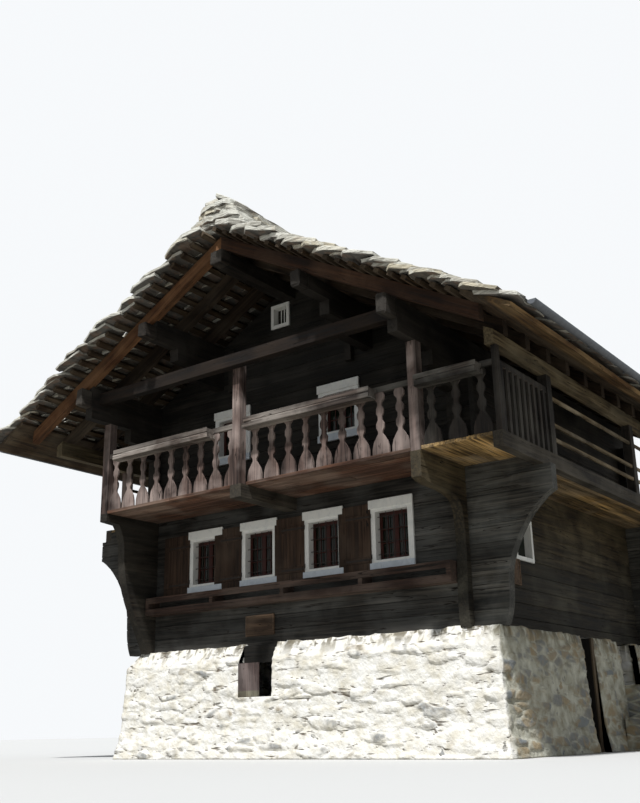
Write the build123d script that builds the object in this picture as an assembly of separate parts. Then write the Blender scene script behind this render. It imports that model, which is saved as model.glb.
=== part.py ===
from build123d import *
from math import cos, radians, sin, tan
import os

os.makedirs("parts", exist_ok=True)

# Log house. Sizes in mm. The house is drawn from its front wall's outer face at y = 0, its
# middle at x = 0 and the ground at z = 0. save() then moves it to stand centred below its roof.
body_width = 6320
body_depth = 6400
log_thickness = 160
course_height = 225
lower_courses = 10
side_upper_courses = 7
front_upper_courses = 9
joint_depth = 14
joint_half_height = 12
lap_overhang = 140

# Stone plinth
plinth_height = 1680
plinth_wall = 480
plinth_right_ledge = 440
plinth_right_shoulder = 30
plinth_left_ledge = 250
plinth_left_shoulder = 200
plinth_front_ledge = 215
plinth_front_shoulder = 130
plinth_shoulder_drop = 240
plinth_batter = 50
plinth_toe = 75
plinth_toe_height = 420
cellar_door_front = 2550
cellar_door_width = 460
cellar_post_width = 90
cellar_post_depth = 225
pier_width = 1050
loft_door_width = 820
loft_door_sill = 1000
landing_depth = 520
landing_step = 380
cellar_window_left = -900
cellar_window_width = 680
cellar_window_sill = 895
cellar_board_height = 510
cellar_board_ahead = 20
cellar_board_thickness = 40
cellar_board_share = 0.58

# Brackets that the wall logs form under the balconies. Each outline point is a share of the
# ground floor's height and a share of the bracket's reach.
side_bracket_profile = (
    (0, 0.346),
    (0.187, 0.423),
    (0.347, 0.446),
    (0.484, 0.538),
    (0.64, 0.715),
    (0.764, 0.962),
)
right_bracket_profile = (
    (0, 0.091),
    (0.378, 0.091),
    (0.644, 0.099),
    (0.751, 0.157),
    (0.8, 0.347),
    (0.831, 0.95),
)
left_bracket_profile = (
    (0, 0.128),
    (0.244, 0.372),
    (0.453, 0.554),
    (0.667, 0.64),
    (0.822, 0.669),
    (0.933, 0.769),
)
bracket_ahead_of_deck = 10
side_bracket_reach = 1300
side_bracket_seat = 160
bracket_nose = 20

# Balcony
balcony_depth = 1200
loggia_depth = 1212
deck_thickness = 50
deck_joint = 4
edge_beam_width = 140
post_size = 150
corner_post_size = 80
first_side_post = 405
middle_side_post_share = 0.535
joist_width = 220
joist_height = 200
joist_ahead_of_deck = 150
handrail_height = 80
handrail_width = 60
rail_top = 975
baluster_pitch = 325
baluster_foot = 280
baluster_thickness = 30
baluster_setback = 10
lath_height = 50
lath_thickness = 30
lath_setback = 20
low_lath = 215
middle_lath = 430
high_lath = 830
slat_width = 70
slat_count = 9
tray_depth = 200
tray_height = 170
tray_board = 20
tray_drop = 20
tray_spans = ((-2730, -560), (150, 2500), (3200, 4160))

# Roof
roof_pitch = 28.4
rafter_seat_rise = 2060
front_overhang = 2150
rear_overhang = 1150
rafter_depth = 190
rafter_width = 130
rafter_inset = 410
rafter_pairs = 14
batten_depth = 60
batten_width = 90
batten_inset = 100
eave_board_width = 760
eave_half_width = 5136
eave_board_end = 5000
rafter_end_half_width = 4430
slab_courses = 21
slab_lift = 62
stone_at_eave = 120
stone_at_ridge = 220
cap_half_widths = (520, 410, 290)
cap_layer = 160
cap_peak = 175
cap_inset = 250
purlin_reach = 1650
eave_plate_reach = 1250
rear_purlin_reach = 700
ridge_purlin_width = 260
ridge_purlin_height = 300
middle_purlin_place = 1580
middle_purlin_width = 180
middle_purlin_height = 240
front_corbel_reaches = (1150, 700)
rear_corbel_reaches = (480, 300)
wall_corbel_reaches = (750, 420)
clamp_place = 1240
clamp_width = 120
clamp_depth = 90
clamp_height = 760
clamp_rise = 40
eave_plate_height = 190
tie_thickness = 140
tie_height = 200
tie_drop = 10
gutter_radius = 60
gutter_sheet = 5
gutter_drop = 25
gutter_gap = 4
gutter_inset = 300
lug_width = 30
lug_height = 30
bracket_pitch = 1500

# How far a cut runs past the face it opens
cut_past = 1

# Windows
window_places = (-1825, -655, 645, 1900)
window_width = 750
window_rise = (930, 1980)
casing_side = 90
casing_head = 175
casing_sill = 150
casing_proud = 30
lining = 30
sash_member = 48
sash_depth = 40
sash_setback = 95
glass_thickness = 6
upper_window_places = (-1250, 995)
upper_window_width = 790
upper_window_rise = (810, 1760)
gable_window_place = -187
gable_window_width = 390
gable_window_rise = 995
gable_window_height = 430
small_casing = 60
side_window_centre = 1700
side_window_width = 620
side_window_rise = (1100, 1750)
shutter_width = 590
shutter_thickness = 32
shutter_rise = 940
shutter_height = 1000
shutter_grip = 12

# Flower shelf and plaques
shelf_half_length = 2980
shelf_depth = 270
shelf_board = 30
shelf_rise = (620, 910)
shelf_rail_height = 100
shelf_rail_thickness = 40
shelf_arms = 5
shelf_arm_width = 70
plaque_thickness = 25
front_plaque = ((-930, -350), (150, 470))
side_plaque = ((1090, 1490), (710, 1100))

# Worked out from the sizes above
half = body_width / 2
inner = half - log_thickness
ground_floor_rise = lower_courses * course_height
storey = plinth_height + ground_floor_rise
deck_top = storey + deck_thickness
side_wall_top = storey + side_upper_courses * course_height
front_wall_top = storey + front_upper_courses * course_height
window_bottom, window_head = [plinth_height + rise for rise in window_rise]
upper_window_bottom, upper_window_head = [storey + rise for rise in upper_window_rise]
gable_window_bottom = front_wall_top + gable_window_rise
side_window_bottom, side_window_head = [plinth_height + rise for rise in side_window_rise]
shutter_bottom = plinth_height + shutter_rise
shelf_bottom, shelf_top = [plinth_height + rise for rise in shelf_rise]
rafter_seat = storey + rafter_seat_rise
slope = tan(radians(roof_pitch))
ridge_line = rafter_seat + half * slope
deck_edge = half + loggia_depth
beam_inside = deck_edge - edge_beam_width
beam_bottom = storey - side_bracket_seat
rail_level = deck_top + rail_top
front_bracket_reach = balcony_depth + bracket_ahead_of_deck
joist_reach = balcony_depth + joist_ahead_of_deck
deck_rear = body_depth + lap_overhang
roof_span_y = (-front_overhang, body_depth + rear_overhang)
purlin_span_y = (-purlin_reach, body_depth + rear_purlin_reach)
stone_bed = rafter_depth + batten_depth
house_shift = (front_overhang - body_depth - rear_overhang) / 2


def rafter_line(x):
    """Height of the rafters' underside at a distance from the ridge."""
    return ridge_line - abs(x) * slope


def block(x, y, z):
    """A box between low and high bounds on each axis."""
    size = Box(x[1] - x[0], y[1] - y[0], z[1] - z[0])
    return Pos((x[0] + x[1]) / 2, (y[0] + y[1]) / 2, (z[0] + z[1]) / 2) * size


def along_x(outline, x):
    """Extrude an outline of (y, z) points between two x values."""
    face = make_face(Polyline(*[(x[0], y, z) for y, z in outline], close=True))
    return extrude(face, amount=x[1] - x[0], dir=(1, 0, 0))


def along_y(outline, y):
    """Extrude an outline of (x, z) points between two y values."""
    face = make_face(Polyline(*[(x, y[0], z) for x, z in outline], close=True))
    return extrude(face, amount=y[1] - y[0], dir=(0, 1, 0))


def other_side(solids):
    """The same solids across the middle plane of the house."""
    return [mirror(solid, about=Plane.YZ) for solid in solids]


def save(name, solids):
    """Move a piece to its place under the centred roof and write it."""
    moved = [Pos(0, house_shift, 0) * body for solid in solids for body in solid.solids()]
    export_step(Compound(moved), f"parts/{name}.step")


# Log walls: a stack with an open joint at each course, cut to the wall's outline
def log_stack(outside, inside, bottom, courses):
    """Cross-section of stacked squared logs as (depth, height) points."""
    notch = joint_depth if inside > outside else -joint_depth
    points = [(inside, bottom), (outside, bottom)]
    for course in range(1, courses):
        joint = bottom + course * course_height
        points.append((outside, joint - joint_half_height))
        points.append((outside + notch, joint))
        points.append((outside, joint + joint_half_height))
    top = bottom + courses * course_height
    return points + [(outside, top), (inside, top)]


def lap_notches(x, y, bottom, courses, upper_half):
    """Boxes that halve each log where two walls cross."""
    raise_by = course_height / 2 if upper_half else 0
    boxes = []
    for course in range(courses):
        low = bottom + course * course_height + raise_by
        boxes.append(block(x, y, (low, low + course_height / 2)))
    return boxes


def side_bracket():
    """Ogee bracket of the front and rear walls' logs under a loggia, in the wall's own plane."""
    curve = []
    for rise, share in side_bracket_profile:
        curve.append((half + side_bracket_reach * share, plinth_height + ground_floor_rise * rise))
    end = half + side_bracket_reach
    corners = [curve[-1], (end, curve[-1][1] + bracket_nose), (end, beam_bottom), (beam_inside, beam_bottom)]
    corners += [(beam_inside, storey), (inner, storey), (inner, plinth_height), curve[0]]
    edges = [Spline(*[(x, 0, z) for x, z in curve])]
    edges.append(Polyline(*[(x, 0, z) for x, z in corners]))
    return extrude(make_face(edges), amount=body_depth, dir=(0, 1, 0))


def front_bracket(profile, x):
    """Ogee bracket of a side wall's logs under the front balcony."""
    end = -front_bracket_reach
    curve = [(end * share, plinth_height + ground_floor_rise * rise) for rise, share in profile]
    corners = [curve[-1], (end, curve[-1][1] + bracket_nose), (end, storey), (log_thickness, storey)]
    corners += [(log_thickness, plinth_height), curve[0]]
    edges = [Spline(*[(x[0], y, z) for y, z in curve])]
    edges.append(Polyline(*[(x[0], y, z) for y, z in corners]))
    return extrude(make_face(edges), amount=x[1] - x[0], dir=(1, 0, 0))


def corner_squares():
    """The four squares where the walls cross, as x and y bounds."""
    xs = ((-half, -inner), (inner, half))
    ys = ((0, log_thickness), (body_depth - log_thickness, body_depth))
    return [(x, y) for x in xs for y in ys]


def laps(bottom, courses, upper_half):
    """Every halved lap of one storey."""
    boxes = []
    for x, y in corner_squares():
        boxes += lap_notches(x, y, bottom, courses, upper_half)
    return boxes


def window_hole(centre, width, bottom, head, y, side, top, sill):
    """Hole for a window's lining through a front or rear wall."""
    reach = width / 2 - side + lining
    return block((centre - reach, centre + reach), y, (bottom + sill - lining, head - top + lining))


def lower_window_holes():
    """The ground floor row of window holes."""
    y = (-cut_past, log_thickness + cut_past)
    sides = (casing_side, casing_head, casing_sill)
    return [
        window_hole(place, window_width, window_bottom, window_head, y, *sides)
        for place in window_places
    ]


def upper_window_holes():
    """The two window holes behind the balcony."""
    y = (-cut_past, log_thickness + cut_past)
    sides = (casing_side, casing_head, casing_sill)
    return [
        window_hole(place, upper_window_width, upper_window_bottom, upper_window_head, y, *sides)
        for place in upper_window_places
    ]


def side_window_hole(x):
    """Hole for the small window in a side wall."""
    reach = side_window_width / 2 - small_casing + lining
    y = (side_window_centre - reach, side_window_centre + reach)
    z = (side_window_bottom + small_casing - lining, side_window_head - small_casing + lining)
    return block(x, y, z)


def lower_walls():
    """Ground floor log walls with their brackets."""
    bracket = side_bracket()
    end = half + side_bracket_reach
    body = block((-inner, inner), (0, body_depth), (plinth_height, storey))
    outline = body + bracket + mirror(bracket, about=Plane.YZ)
    notches = laps(plinth_height, lower_courses, True)
    front = along_x(log_stack(0, log_thickness, plinth_height, lower_courses), (-end, end))
    front = (front & outline) - notches - lower_window_holes()
    rear_y = (body_depth, body_depth - log_thickness)
    rear = along_x(log_stack(*rear_y, plinth_height, lower_courses), (-end, end))
    rear = (rear & outline) - notches
    save("front_wall_lower", [front])
    save("rear_wall_lower", [rear])
    tails = (-front_bracket_reach, body_depth + lap_overhang)
    notches = laps(plinth_height, lower_courses, False)
    for name, profile, sign in (
        ("right_wall_lower", right_bracket_profile, 1),
        ("left_wall_lower", left_bracket_profile, -1),
    ):
        x = (inner, half) if sign > 0 else (-half, -inner)
        stack = log_stack(sign * half, sign * inner, plinth_height, lower_courses)
        wall = along_y(stack, tails)
        limits = block(x, (0, tails[1]), (plinth_height, storey)) + front_bracket(profile, x)
        wall = (wall & limits) - notches - side_window_hole(x)
        save(name, [wall])


def upper_walls():
    """Upper floor log walls between the deck and the wall plates."""
    notches = laps(storey, side_upper_courses, True)
    reach = half + lap_overhang
    low = block((-reach, reach), (0, body_depth), (storey, side_wall_top))
    high = block((-inner, inner), (0, body_depth), (side_wall_top, front_wall_top))
    outline = low + high
    front = along_x(log_stack(0, log_thickness, storey, front_upper_courses), (-reach, reach))
    front = (front & outline) - notches - upper_window_holes()
    rear_y = (body_depth, body_depth - log_thickness)
    rear = along_x(log_stack(*rear_y, storey, front_upper_courses), (-reach, reach))
    rear = (rear & outline) - notches
    save("front_wall_upper", [front])
    save("rear_wall_upper", [rear])
    stack = log_stack(half, inner, storey, side_upper_courses)
    side = along_y(stack, (-lap_overhang, body_depth + lap_overhang))
    side = side - laps(storey, side_upper_courses, False) + wall_corbels(stack)
    save("right_wall_upper", [side])
    save("left_wall_upper", other_side([side]))


def wall_corbels(stack):
    """Top logs of a side wall run on in front and behind to carry the wall plate's ends."""
    solids = []
    levels = [side_wall_top - course_height * step for step in (0, 1)]
    for level, front, rear in zip(levels, wall_corbel_reaches, rear_corbel_reaches):
        z = (level - course_height, level)
        ahead = (-front, -lap_overhang)
        behind = (deck_rear, body_depth + rear)
        for y in (ahead, behind):
            solids.append(along_y(stack, y) & block((inner, half), y, z))
    return solids


def gable_outline():
    """Gable above the front wall logs up to the rafters."""
    corner = (inner, rafter_line(inner))
    points = [(-inner, front_wall_top), (inner, front_wall_top), corner]
    return points + [(0, ridge_line), (-inner, rafter_line(inner))]


def gables():
    """Log gables with pockets for the purlins and a small window."""
    rise = ridge_line - front_wall_top
    courses = int(rise / course_height) + 1
    pockets = ridge_purlin() + middle_purlins()
    outline = along_y(gable_outline(), (0, body_depth))
    stack = log_stack(0, log_thickness, front_wall_top, courses)
    front = (along_x(stack, (-inner, inner)) & outline) - pockets - [gable_hole()]
    stack = log_stack(body_depth, body_depth - log_thickness, front_wall_top, courses)
    rear = (along_x(stack, (-inner, inner)) & outline) - pockets
    save("front_gable", [front])
    save("rear_gable", [rear])


def gable_hole():
    """Hole for the small gable window."""
    y = (-cut_past, log_thickness + cut_past)
    head = gable_window_bottom + gable_window_height
    sides = (small_casing, small_casing, small_casing)
    return window_hole(
        gable_window_place, gable_window_width, gable_window_bottom, head, y, *sides
    )


# Purlins and plates, their tops cut to the roof's slope
def ridge_purlin():
    """Ridge purlin with a peaked top."""
    reach = ridge_purlin_width / 2
    bottom = ridge_line - ridge_purlin_height
    shoulder = rafter_line(reach)
    outline = [(-reach, bottom), (reach, bottom), (reach, shoulder), (0, ridge_line)]
    return [along_y(outline + [(-reach, shoulder)], purlin_span_y)]


def sloped_beam(x, bottom, y):
    """Beam on the right-hand side whose top follows the rafters."""
    outline = [(x[0], bottom), (x[1], bottom), (x[1], rafter_line(x[1])), (x[0], rafter_line(x[0]))]
    return along_y(outline, y)


def middle_purlins():
    """Purlins half way down each slope, on corbels stepped out from the gables."""
    reach = middle_purlin_width / 2
    x = (middle_purlin_place - reach, middle_purlin_place + reach)
    bottom = rafter_line(x[1]) - middle_purlin_height
    beam = sloped_beam(x, bottom, purlin_span_y)
    for step, (front, rear) in enumerate(zip(front_corbel_reaches, rear_corbel_reaches)):
        top = bottom - course_height * step
        z = (top - course_height, top)
        beam = beam + block(x, (-front, log_thickness), z)
        beam = beam + block(x, (body_depth - log_thickness, body_depth + rear), z)
    return [beam] + other_side([beam])


def gable_clamps():
    """Upright timbers that hold the gable logs in line."""
    x = (clamp_place - clamp_width / 2, clamp_place + clamp_width / 2)
    bottom = front_wall_top + clamp_rise
    solids = []
    for y in ((-clamp_depth, 0), (body_depth, body_depth + clamp_depth)):
        solids.append(block(x, y, (bottom, bottom + clamp_height)))
    save("gable_clamps", solids + other_side(solids))


def roof_beams():
    """Every purlin and plate, and the tie between the wall plates."""
    save("ridge_purlin", ridge_purlin())
    save("middle_purlins", middle_purlins())
    wall_plate = sloped_beam((inner, half), side_wall_top, purlin_span_y)
    save("wall_plates", [wall_plate] + other_side([wall_plate]))
    bottom = rafter_line(deck_edge) - eave_plate_height
    y = (-eave_plate_reach, purlin_span_y[1])
    eave_plate = sloped_beam((beam_inside, deck_edge), bottom, y)
    save("eave_plates", [eave_plate] + other_side([eave_plate]))
    top = rafter_seat - tie_drop
    y = (-joist_reach - tie_thickness, -joist_reach)
    save("tie_beam", [block((-inner, inner), y, (top - tie_height, top))])


# Roof covering, drawn on the right-hand slope as distance down the slope and height above
# the rafters' underside
def on_slope(down, up):
    """Point of the right-hand slope as (x, z)."""
    c = cos(radians(roof_pitch))
    s = sin(radians(roof_pitch))
    return (down * c + up * s, ridge_line - down * s + up * c)


def down_at(x, up):
    """Distance down the slope where a line at a height above the rafters meets x."""
    return (x - up * sin(radians(roof_pitch))) / cos(radians(roof_pitch))


def rafters():
    """Rafter pairs that meet at the ridge."""
    rise = rafter_depth / cos(radians(roof_pitch))
    end = rafter_end_half_width
    outline = [(0, ridge_line), (end, rafter_line(end)), (end, rafter_line(end) + rise)]
    outline.append((0, ridge_line + rise))
    first = roof_span_y[0] + rafter_inset
    last = roof_span_y[1] - rafter_inset - rafter_width
    solids = []
    for pair in range(rafter_pairs):
        y = first + (last - first) * pair / (rafter_pairs - 1)
        solids.append(along_y(outline, (y, y + rafter_width)))
    save("rafters_right", solids)
    save("rafters_left", other_side(solids))


def batten_places():
    """Upper edge of each batten, from the ridge down."""
    top = down_at(0, rafter_depth) + batten_width
    bottom = down_at(eave_board_end, rafter_depth) - eave_board_width
    step = (bottom - top) / (slab_courses - 1)
    return [top + step * row for row in range(slab_courses)]


def battens():
    """Battens across the rafters, the lowest a wide eave board."""
    y = (roof_span_y[0] + batten_inset, roof_span_y[1] - batten_inset)
    solids = []
    places = batten_places()
    for place in places:
        width = eave_board_width if place == places[-1] else batten_width
        corners = [(place, rafter_depth), (place + width, rafter_depth)]
        corners += [(place + width, stone_bed), (place, stone_bed)]
        solids.append(along_y([on_slope(*corner) for corner in corners], y))
    save("roof_battens_right", solids)
    save("roof_battens_left", other_side(solids))


def stone_depth(down, length):
    """Thickness of the lapped stones at a distance down the slope."""
    return stone_at_ridge + (stone_at_eave - stone_at_ridge) * down / length


def stone_top_corner(x):
    """Top of the stones beside the ridge at a distance from the middle."""
    up = stone_bed + stone_at_ridge
    return on_slope(down_at(x, up), up)


def slab_outline():
    """Outline of the lapped stone courses, each a step up the right-hand slope."""
    eave = down_at(eave_half_width, stone_bed + stone_at_eave)
    flat = down_at(cap_half_widths[0], stone_bed + stone_at_ridge)
    exposure = (eave - flat) / slab_courses
    points = [on_slope(down_at(0, stone_bed), stone_bed), on_slope(eave, stone_bed)]
    for course in range(slab_courses):
        low = eave - course * exposure
        high = low - exposure
        points.append(on_slope(low, stone_bed + stone_depth(low, eave)))
        points.append(on_slope(high, stone_bed + stone_depth(high, eave) - slab_lift))
    points.append(stone_top_corner(cap_half_widths[0]))
    points.append(stone_top_corner(0))
    return points


def roof_slabs():
    """Stone covering of both slopes."""
    slabs = along_y(slab_outline(), roof_span_y)
    save("roof_slabs_right", [slabs])
    save("roof_slabs_left", other_side([slabs]))


def ridge_cap():
    """Layered stones laid over the ridge."""
    points = [stone_top_corner(0), stone_top_corner(cap_half_widths[0])]
    level = points[-1][1] + cap_layer
    for width in cap_half_widths:
        points.append((width, level))
        level += cap_layer
        if width != cap_half_widths[-1]:
            points.append((cap_half_widths[cap_half_widths.index(width) + 1], level - cap_layer))
    points.append((0, level - cap_layer + cap_peak))
    points += [(-x, z) for x, z in reversed(points[1:-1])]
    y = (roof_span_y[0] + cap_inset, roof_span_y[1] - cap_inset)
    save("ridge_cap", [along_y(points, y)])


def gutters():
    """Half-round gutters with closed ends, on lugs that reach the stones' edge."""
    eave = down_at(eave_half_width, stone_bed + stone_at_eave)
    tip_x, tip_z = on_slope(eave, stone_bed + stone_at_eave)
    heel_x = on_slope(eave, stone_bed)[0]
    centre_x = tip_x + gutter_gap + gutter_radius
    rim = tip_z - gutter_drop
    y = (roof_span_y[0] + gutter_inset, roof_span_y[1] - gutter_inset)
    length = y[1] - y[0]
    turn = Pos(centre_x, (y[0] + y[1]) / 2, rim) * Rot(90, 0, 0)
    tube = turn * Cylinder(gutter_radius, length)
    bore = turn * Cylinder(gutter_radius - gutter_sheet, length - 2 * gutter_sheet)
    above = block((tip_x, centre_x + gutter_radius + cut_past), y, (rim, rim + gutter_radius + cut_past))
    gutter = tube - bore - above
    slabs = along_y(slab_outline(), y)
    lug_x = (heel_x, centre_x - gutter_radius + gutter_sheet / 2)
    count = int(length / bracket_pitch) + 1
    for lug in range(count):
        place = y[0] + length * (lug + 0.5) / count
        shape = block(lug_x, (place, place + lug_width), (rim - lug_height, rim))
        gutter = gutter + (shape - slabs - bore)
    save("gutters", [gutter] + other_side([gutter]))


# Stone plinth: battered walls with a spread foot and a sloped shoulder below the logs
def plinth_face(ledge, shoulder):
    """Outer face from the foot up, as (outward, height) from the log wall."""
    waist = ledge + plinth_batter
    shoulder_height = plinth_height - plinth_shoulder_drop
    points = [(waist + plinth_toe, 0), (waist, plinth_toe_height)]
    return points + [(ledge, shoulder_height), (ledge - shoulder, plinth_height)]


def plinth_section(ledge, shoulder):
    """Cross-section of a plinth wall, as (outward, height) from the log wall."""
    inside = ledge - plinth_wall
    return [(inside, 0)] + plinth_face(ledge, shoulder) + [(inside, plinth_height)]


def plinth_walls():
    """The four plinth walls with the cellar openings."""
    front_shape = plinth_section(plinth_front_ledge, plinth_front_shoulder)
    right_shape = plinth_section(plinth_right_ledge, plinth_right_shoulder)
    left_shape = plinth_section(plinth_left_ledge, plinth_left_shoulder)
    front_section = [(-out, z) for out, z in front_shape]
    rear_section = [(body_depth + out, z) for out, z in front_shape]
    right_section = [(half + out, z) for out, z in right_shape]
    left_section = [(half + out, z) for out, z in left_shape]
    spread = plinth_batter + plinth_toe
    reach = half + plinth_right_ledge + spread
    inside_x = half + plinth_right_ledge - plinth_wall
    front = along_x(front_section, (-reach, reach)) & plinth_plan_x()
    rear = along_x(rear_section, (-reach, reach)) & plinth_plan_x()
    window_x = (cellar_window_left, cellar_window_left + cellar_window_width)
    window_z = (cellar_window_sill, plinth_height + cut_past)
    deep = (-plinth_front_ledge - spread - cut_past, plinth_wall)
    save("plinth_front", [front - block(window_x, deep, window_z)])
    save("plinth_rear", [rear])
    y = (plinth_wall - plinth_front_ledge, body_depth + plinth_front_ledge - plinth_wall)
    side = along_y(right_section, y)
    save("plinth_left", other_side([along_y(left_section, y)]))
    door_end = cellar_door_front + cellar_door_width
    x = (inside_x - cut_past, reach + cut_past)
    doorway = block(x, (cellar_door_front, door_end), (-cut_past, plinth_height + cut_past))
    upper_door = loft_door_span()
    upper_doorway = block(x, upper_door, (loft_door_sill, plinth_height + cut_past))
    save("plinth_right", [side - doorway - upper_doorway])


def loft_door_span():
    """Front and rear edge of the raised cellar doorway."""
    front = cellar_door_front + cellar_door_width + pier_width
    return (front, front + loft_door_width)


def plinth_plan_x():
    """Battered side outline shared by the front and rear plinth walls."""
    right_face = plinth_face(plinth_right_ledge, plinth_right_shoulder)
    left_face = plinth_face(plinth_left_ledge, plinth_left_shoulder)
    right = [(half + out, z) for out, z in right_face]
    left = [(-half - out, z) for out, z in reversed(left_face)]
    spread = plinth_front_ledge + plinth_batter + plinth_toe
    return along_y(right + left, (-spread, body_depth + spread))


def cellar_fittings():
    """Landing, doorway post and window board of the cellar."""
    foot = half + plinth_right_ledge + plinth_batter + plinth_toe
    span = loft_door_span()
    landing = block((foot, foot + landing_depth), span, (0, loft_door_sill))
    step_y = (span[0] - landing_step, span[0])
    step = block((foot, foot + landing_depth), step_y, (0, loft_door_sill / 2))
    fill_section = [(foot, 0), (foot - plinth_toe, plinth_toe_height)]
    batter_height = plinth_height - plinth_shoulder_drop - plinth_toe_height
    rise = (loft_door_sill - plinth_toe_height) / batter_height
    fill_section.append((foot - plinth_toe - plinth_batter * rise, loft_door_sill))
    fill_section.append((foot, loft_door_sill))
    fill = along_y(fill_section, span)
    save("cellar_landing", [landing + step + fill])
    door_end = cellar_door_front + cellar_door_width
    outer = half + plinth_right_ledge
    post_x = (outer - cellar_post_depth, outer)
    post = block(post_x, (door_end - cellar_post_width, door_end), (0, plinth_height))
    save("cellar_door_post", [post])
    x = (cellar_window_left, cellar_window_left + cellar_window_width * cellar_board_share)
    face = -plinth_front_ledge - cellar_board_ahead
    z = (cellar_window_sill, cellar_window_sill + cellar_board_height)
    save("cellar_window_board", [block(x, (face, face + cellar_board_thickness), z)])


# Floors and balcony
def floors():
    """Timber floors inside the walls."""
    y = (log_thickness, body_depth - log_thickness)
    lower = block((-inner, inner), y, (plinth_height, plinth_height + deck_thickness))
    upper = block((-inner, inner), y, (storey, deck_top))
    save("timber_floors", [lower, upper])


def balcony_deck():
    """Front and side decks, let in round the wall corners and posts."""
    z = (storey, deck_top)
    front = block((-half, half - deck_joint), (-balcony_depth, 0), z)
    right = block((half, beam_inside), (-balcony_depth, deck_rear), z)
    left = block((-beam_inside, -half), (0, deck_rear), z)
    tall = (storey - cut_past, deck_top + cut_past)
    cuts = [block(x, y, tall) for x, y in front_post_places()]
    for sign in (-1, 1):
        x = sorted((sign * inner, sign * (half + lap_overhang)))
        cuts.append(block(x, (-lap_overhang, log_thickness), tall))
        cuts.append(block(x, (body_depth - log_thickness, deck_rear + cut_past), tall))
    save("balcony_deck", [deck - cuts for deck in (front, right, left)])


def balcony_beams():
    """Joist under the middle of the front deck and the beams along the side decks' edges."""
    x = (-joist_width / 2, joist_width / 2)
    joist = block(x, (-joist_reach, 0), (storey - joist_height, storey))
    z = (beam_bottom, deck_top)
    right = block((beam_inside, deck_edge), (-balcony_depth, deck_rear), z)
    left = block((-deck_edge, -beam_inside), (0, deck_rear), z)
    save("balcony_beams", [joist, right, left])


def front_post_places():
    """Plan of the posts on the joist and on the two front brackets."""
    middle = ((-post_size / 2, post_size / 2), (-joist_reach, -joist_reach + post_size))
    y = (-front_bracket_reach, -front_bracket_reach + post_size)
    right = ((half - post_size, half), y)
    left = ((-half, -half + post_size), y)
    return [left, middle, right]


def side_post_places():
    """Middles of the posts along a side deck."""
    last = deck_rear - post_size / 2
    middle = first_side_post + (last - first_side_post) * middle_side_post_share
    return (first_side_post, middle, last)


def posts():
    """Front posts up to the tie and wall plates, and side posts up to the eave plates."""
    tops = (side_wall_top, rafter_seat - tie_drop, side_wall_top)
    front = []
    for (x, y), top in zip(front_post_places(), tops):
        front.append(block(x, y, (storey, top)))
    z = (deck_top, rafter_line(deck_edge) - eave_plate_height)
    x = (beam_inside, deck_edge)
    sides = []
    for place in side_post_places():
        sides.append(block(x, (place - post_size / 2, place + post_size / 2), z))
    corner_x = (deck_edge - corner_post_size, deck_edge)
    corner = block(corner_x, (-balcony_depth, -balcony_depth + corner_post_size), z)
    save("balcony_posts", front + sides + other_side(sides) + [corner])


def rail_bays():
    """Front rail spans between posts."""
    left, middle, right = [x for x, y in front_post_places()]
    return [(left[1], middle[0]), (middle[1], right[0]), (right[1], deck_edge - corner_post_size)]


def front_rail():
    """Front handrail between the posts."""
    y = (-balcony_depth, -balcony_depth + handrail_width)
    z = (rail_level - handrail_height, rail_level)
    save("balcony_handrail", [block(x, y, z) for x in rail_bays()])


def baluster():
    """Flat sawn baluster: bell foot, waist, lobes and a round head."""
    height = rail_level - handrail_height - deck_top
    foot = baluster_foot / 2
    widths = ((0, 1), (0.1, 0.97), (0.2, 0.8), (0.28, 0.48), (0.33, 0.25), (0.37, 0.26))
    widths += ((0.42, 0.44), (0.49, 0.46), (0.55, 0.24), (0.61, 0.24), (0.66, 0.42))
    widths += ((0.73, 0.42), (0.79, 0.22), (0.84, 0.26), (0.89, 0.54), (0.95, 0.58), (1, 0.42))
    right = [(foot * w, deck_top + height * h) for h, w in widths]
    left = [(-x, z) for x, z in reversed(right)]
    face = baluster_setback - balcony_depth
    return along_y(right + left, (face, face + baluster_thickness))


def balusters():
    """A row of balusters in each bay of the front rail."""
    shape = baluster()
    solids = []
    for low, high in rail_bays():
        count = max(1, int((high - low) / baluster_pitch))
        step = (high - low) / count
        for place in range(count):
            solids.append(Pos(low + step * (place + 0.5), 0, 0) * shape)
    save("balcony_balusters", solids)


def side_rails():
    """Drying laths between the loggia posts and the slatted corner panel."""
    x = (deck_edge - lath_setback - lath_thickness, deck_edge - lath_setback)
    places = side_post_places()
    solids = []
    for start, stop in zip(places, places[1:]):
        y = (start + post_size / 2, stop - post_size / 2)
        for level in (low_lath, middle_lath, high_lath):
            solids.append(block(x, y, (deck_top + level, deck_top + level + lath_height)))
    save("drying_laths", solids + other_side(solids))
    y = (-balcony_depth + corner_post_size, places[0] - post_size / 2)
    rail = block(x, y, (rail_level - handrail_height, rail_level))
    panel = rail
    step = (y[1] - y[0]) / slat_count
    for slat in range(slat_count):
        low = y[0] + step * slat + (step - slat_width) / 2
        z = (deck_top, rail_level - handrail_height)
        panel = panel + block(x, (low, low + slat_width), z)
    save("slatted_panel", [panel])


def trays():
    """Plank flower boxes hung on the front rail, open at the top."""
    solids = []
    top = rail_level - tray_drop
    y = (-balcony_depth - tray_depth, -balcony_depth)
    for x in tray_spans:
        outer = block(x, y, (top - tray_height, top))
        hollow = block(
            (x[0] + tray_board, x[1] - tray_board),
            (y[0] + tray_board, y[1] - tray_board),
            (top - tray_height + tray_board, top + cut_past),
        )
        solids.append(outer - hollow)
    save("flower_boxes", solids)


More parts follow.
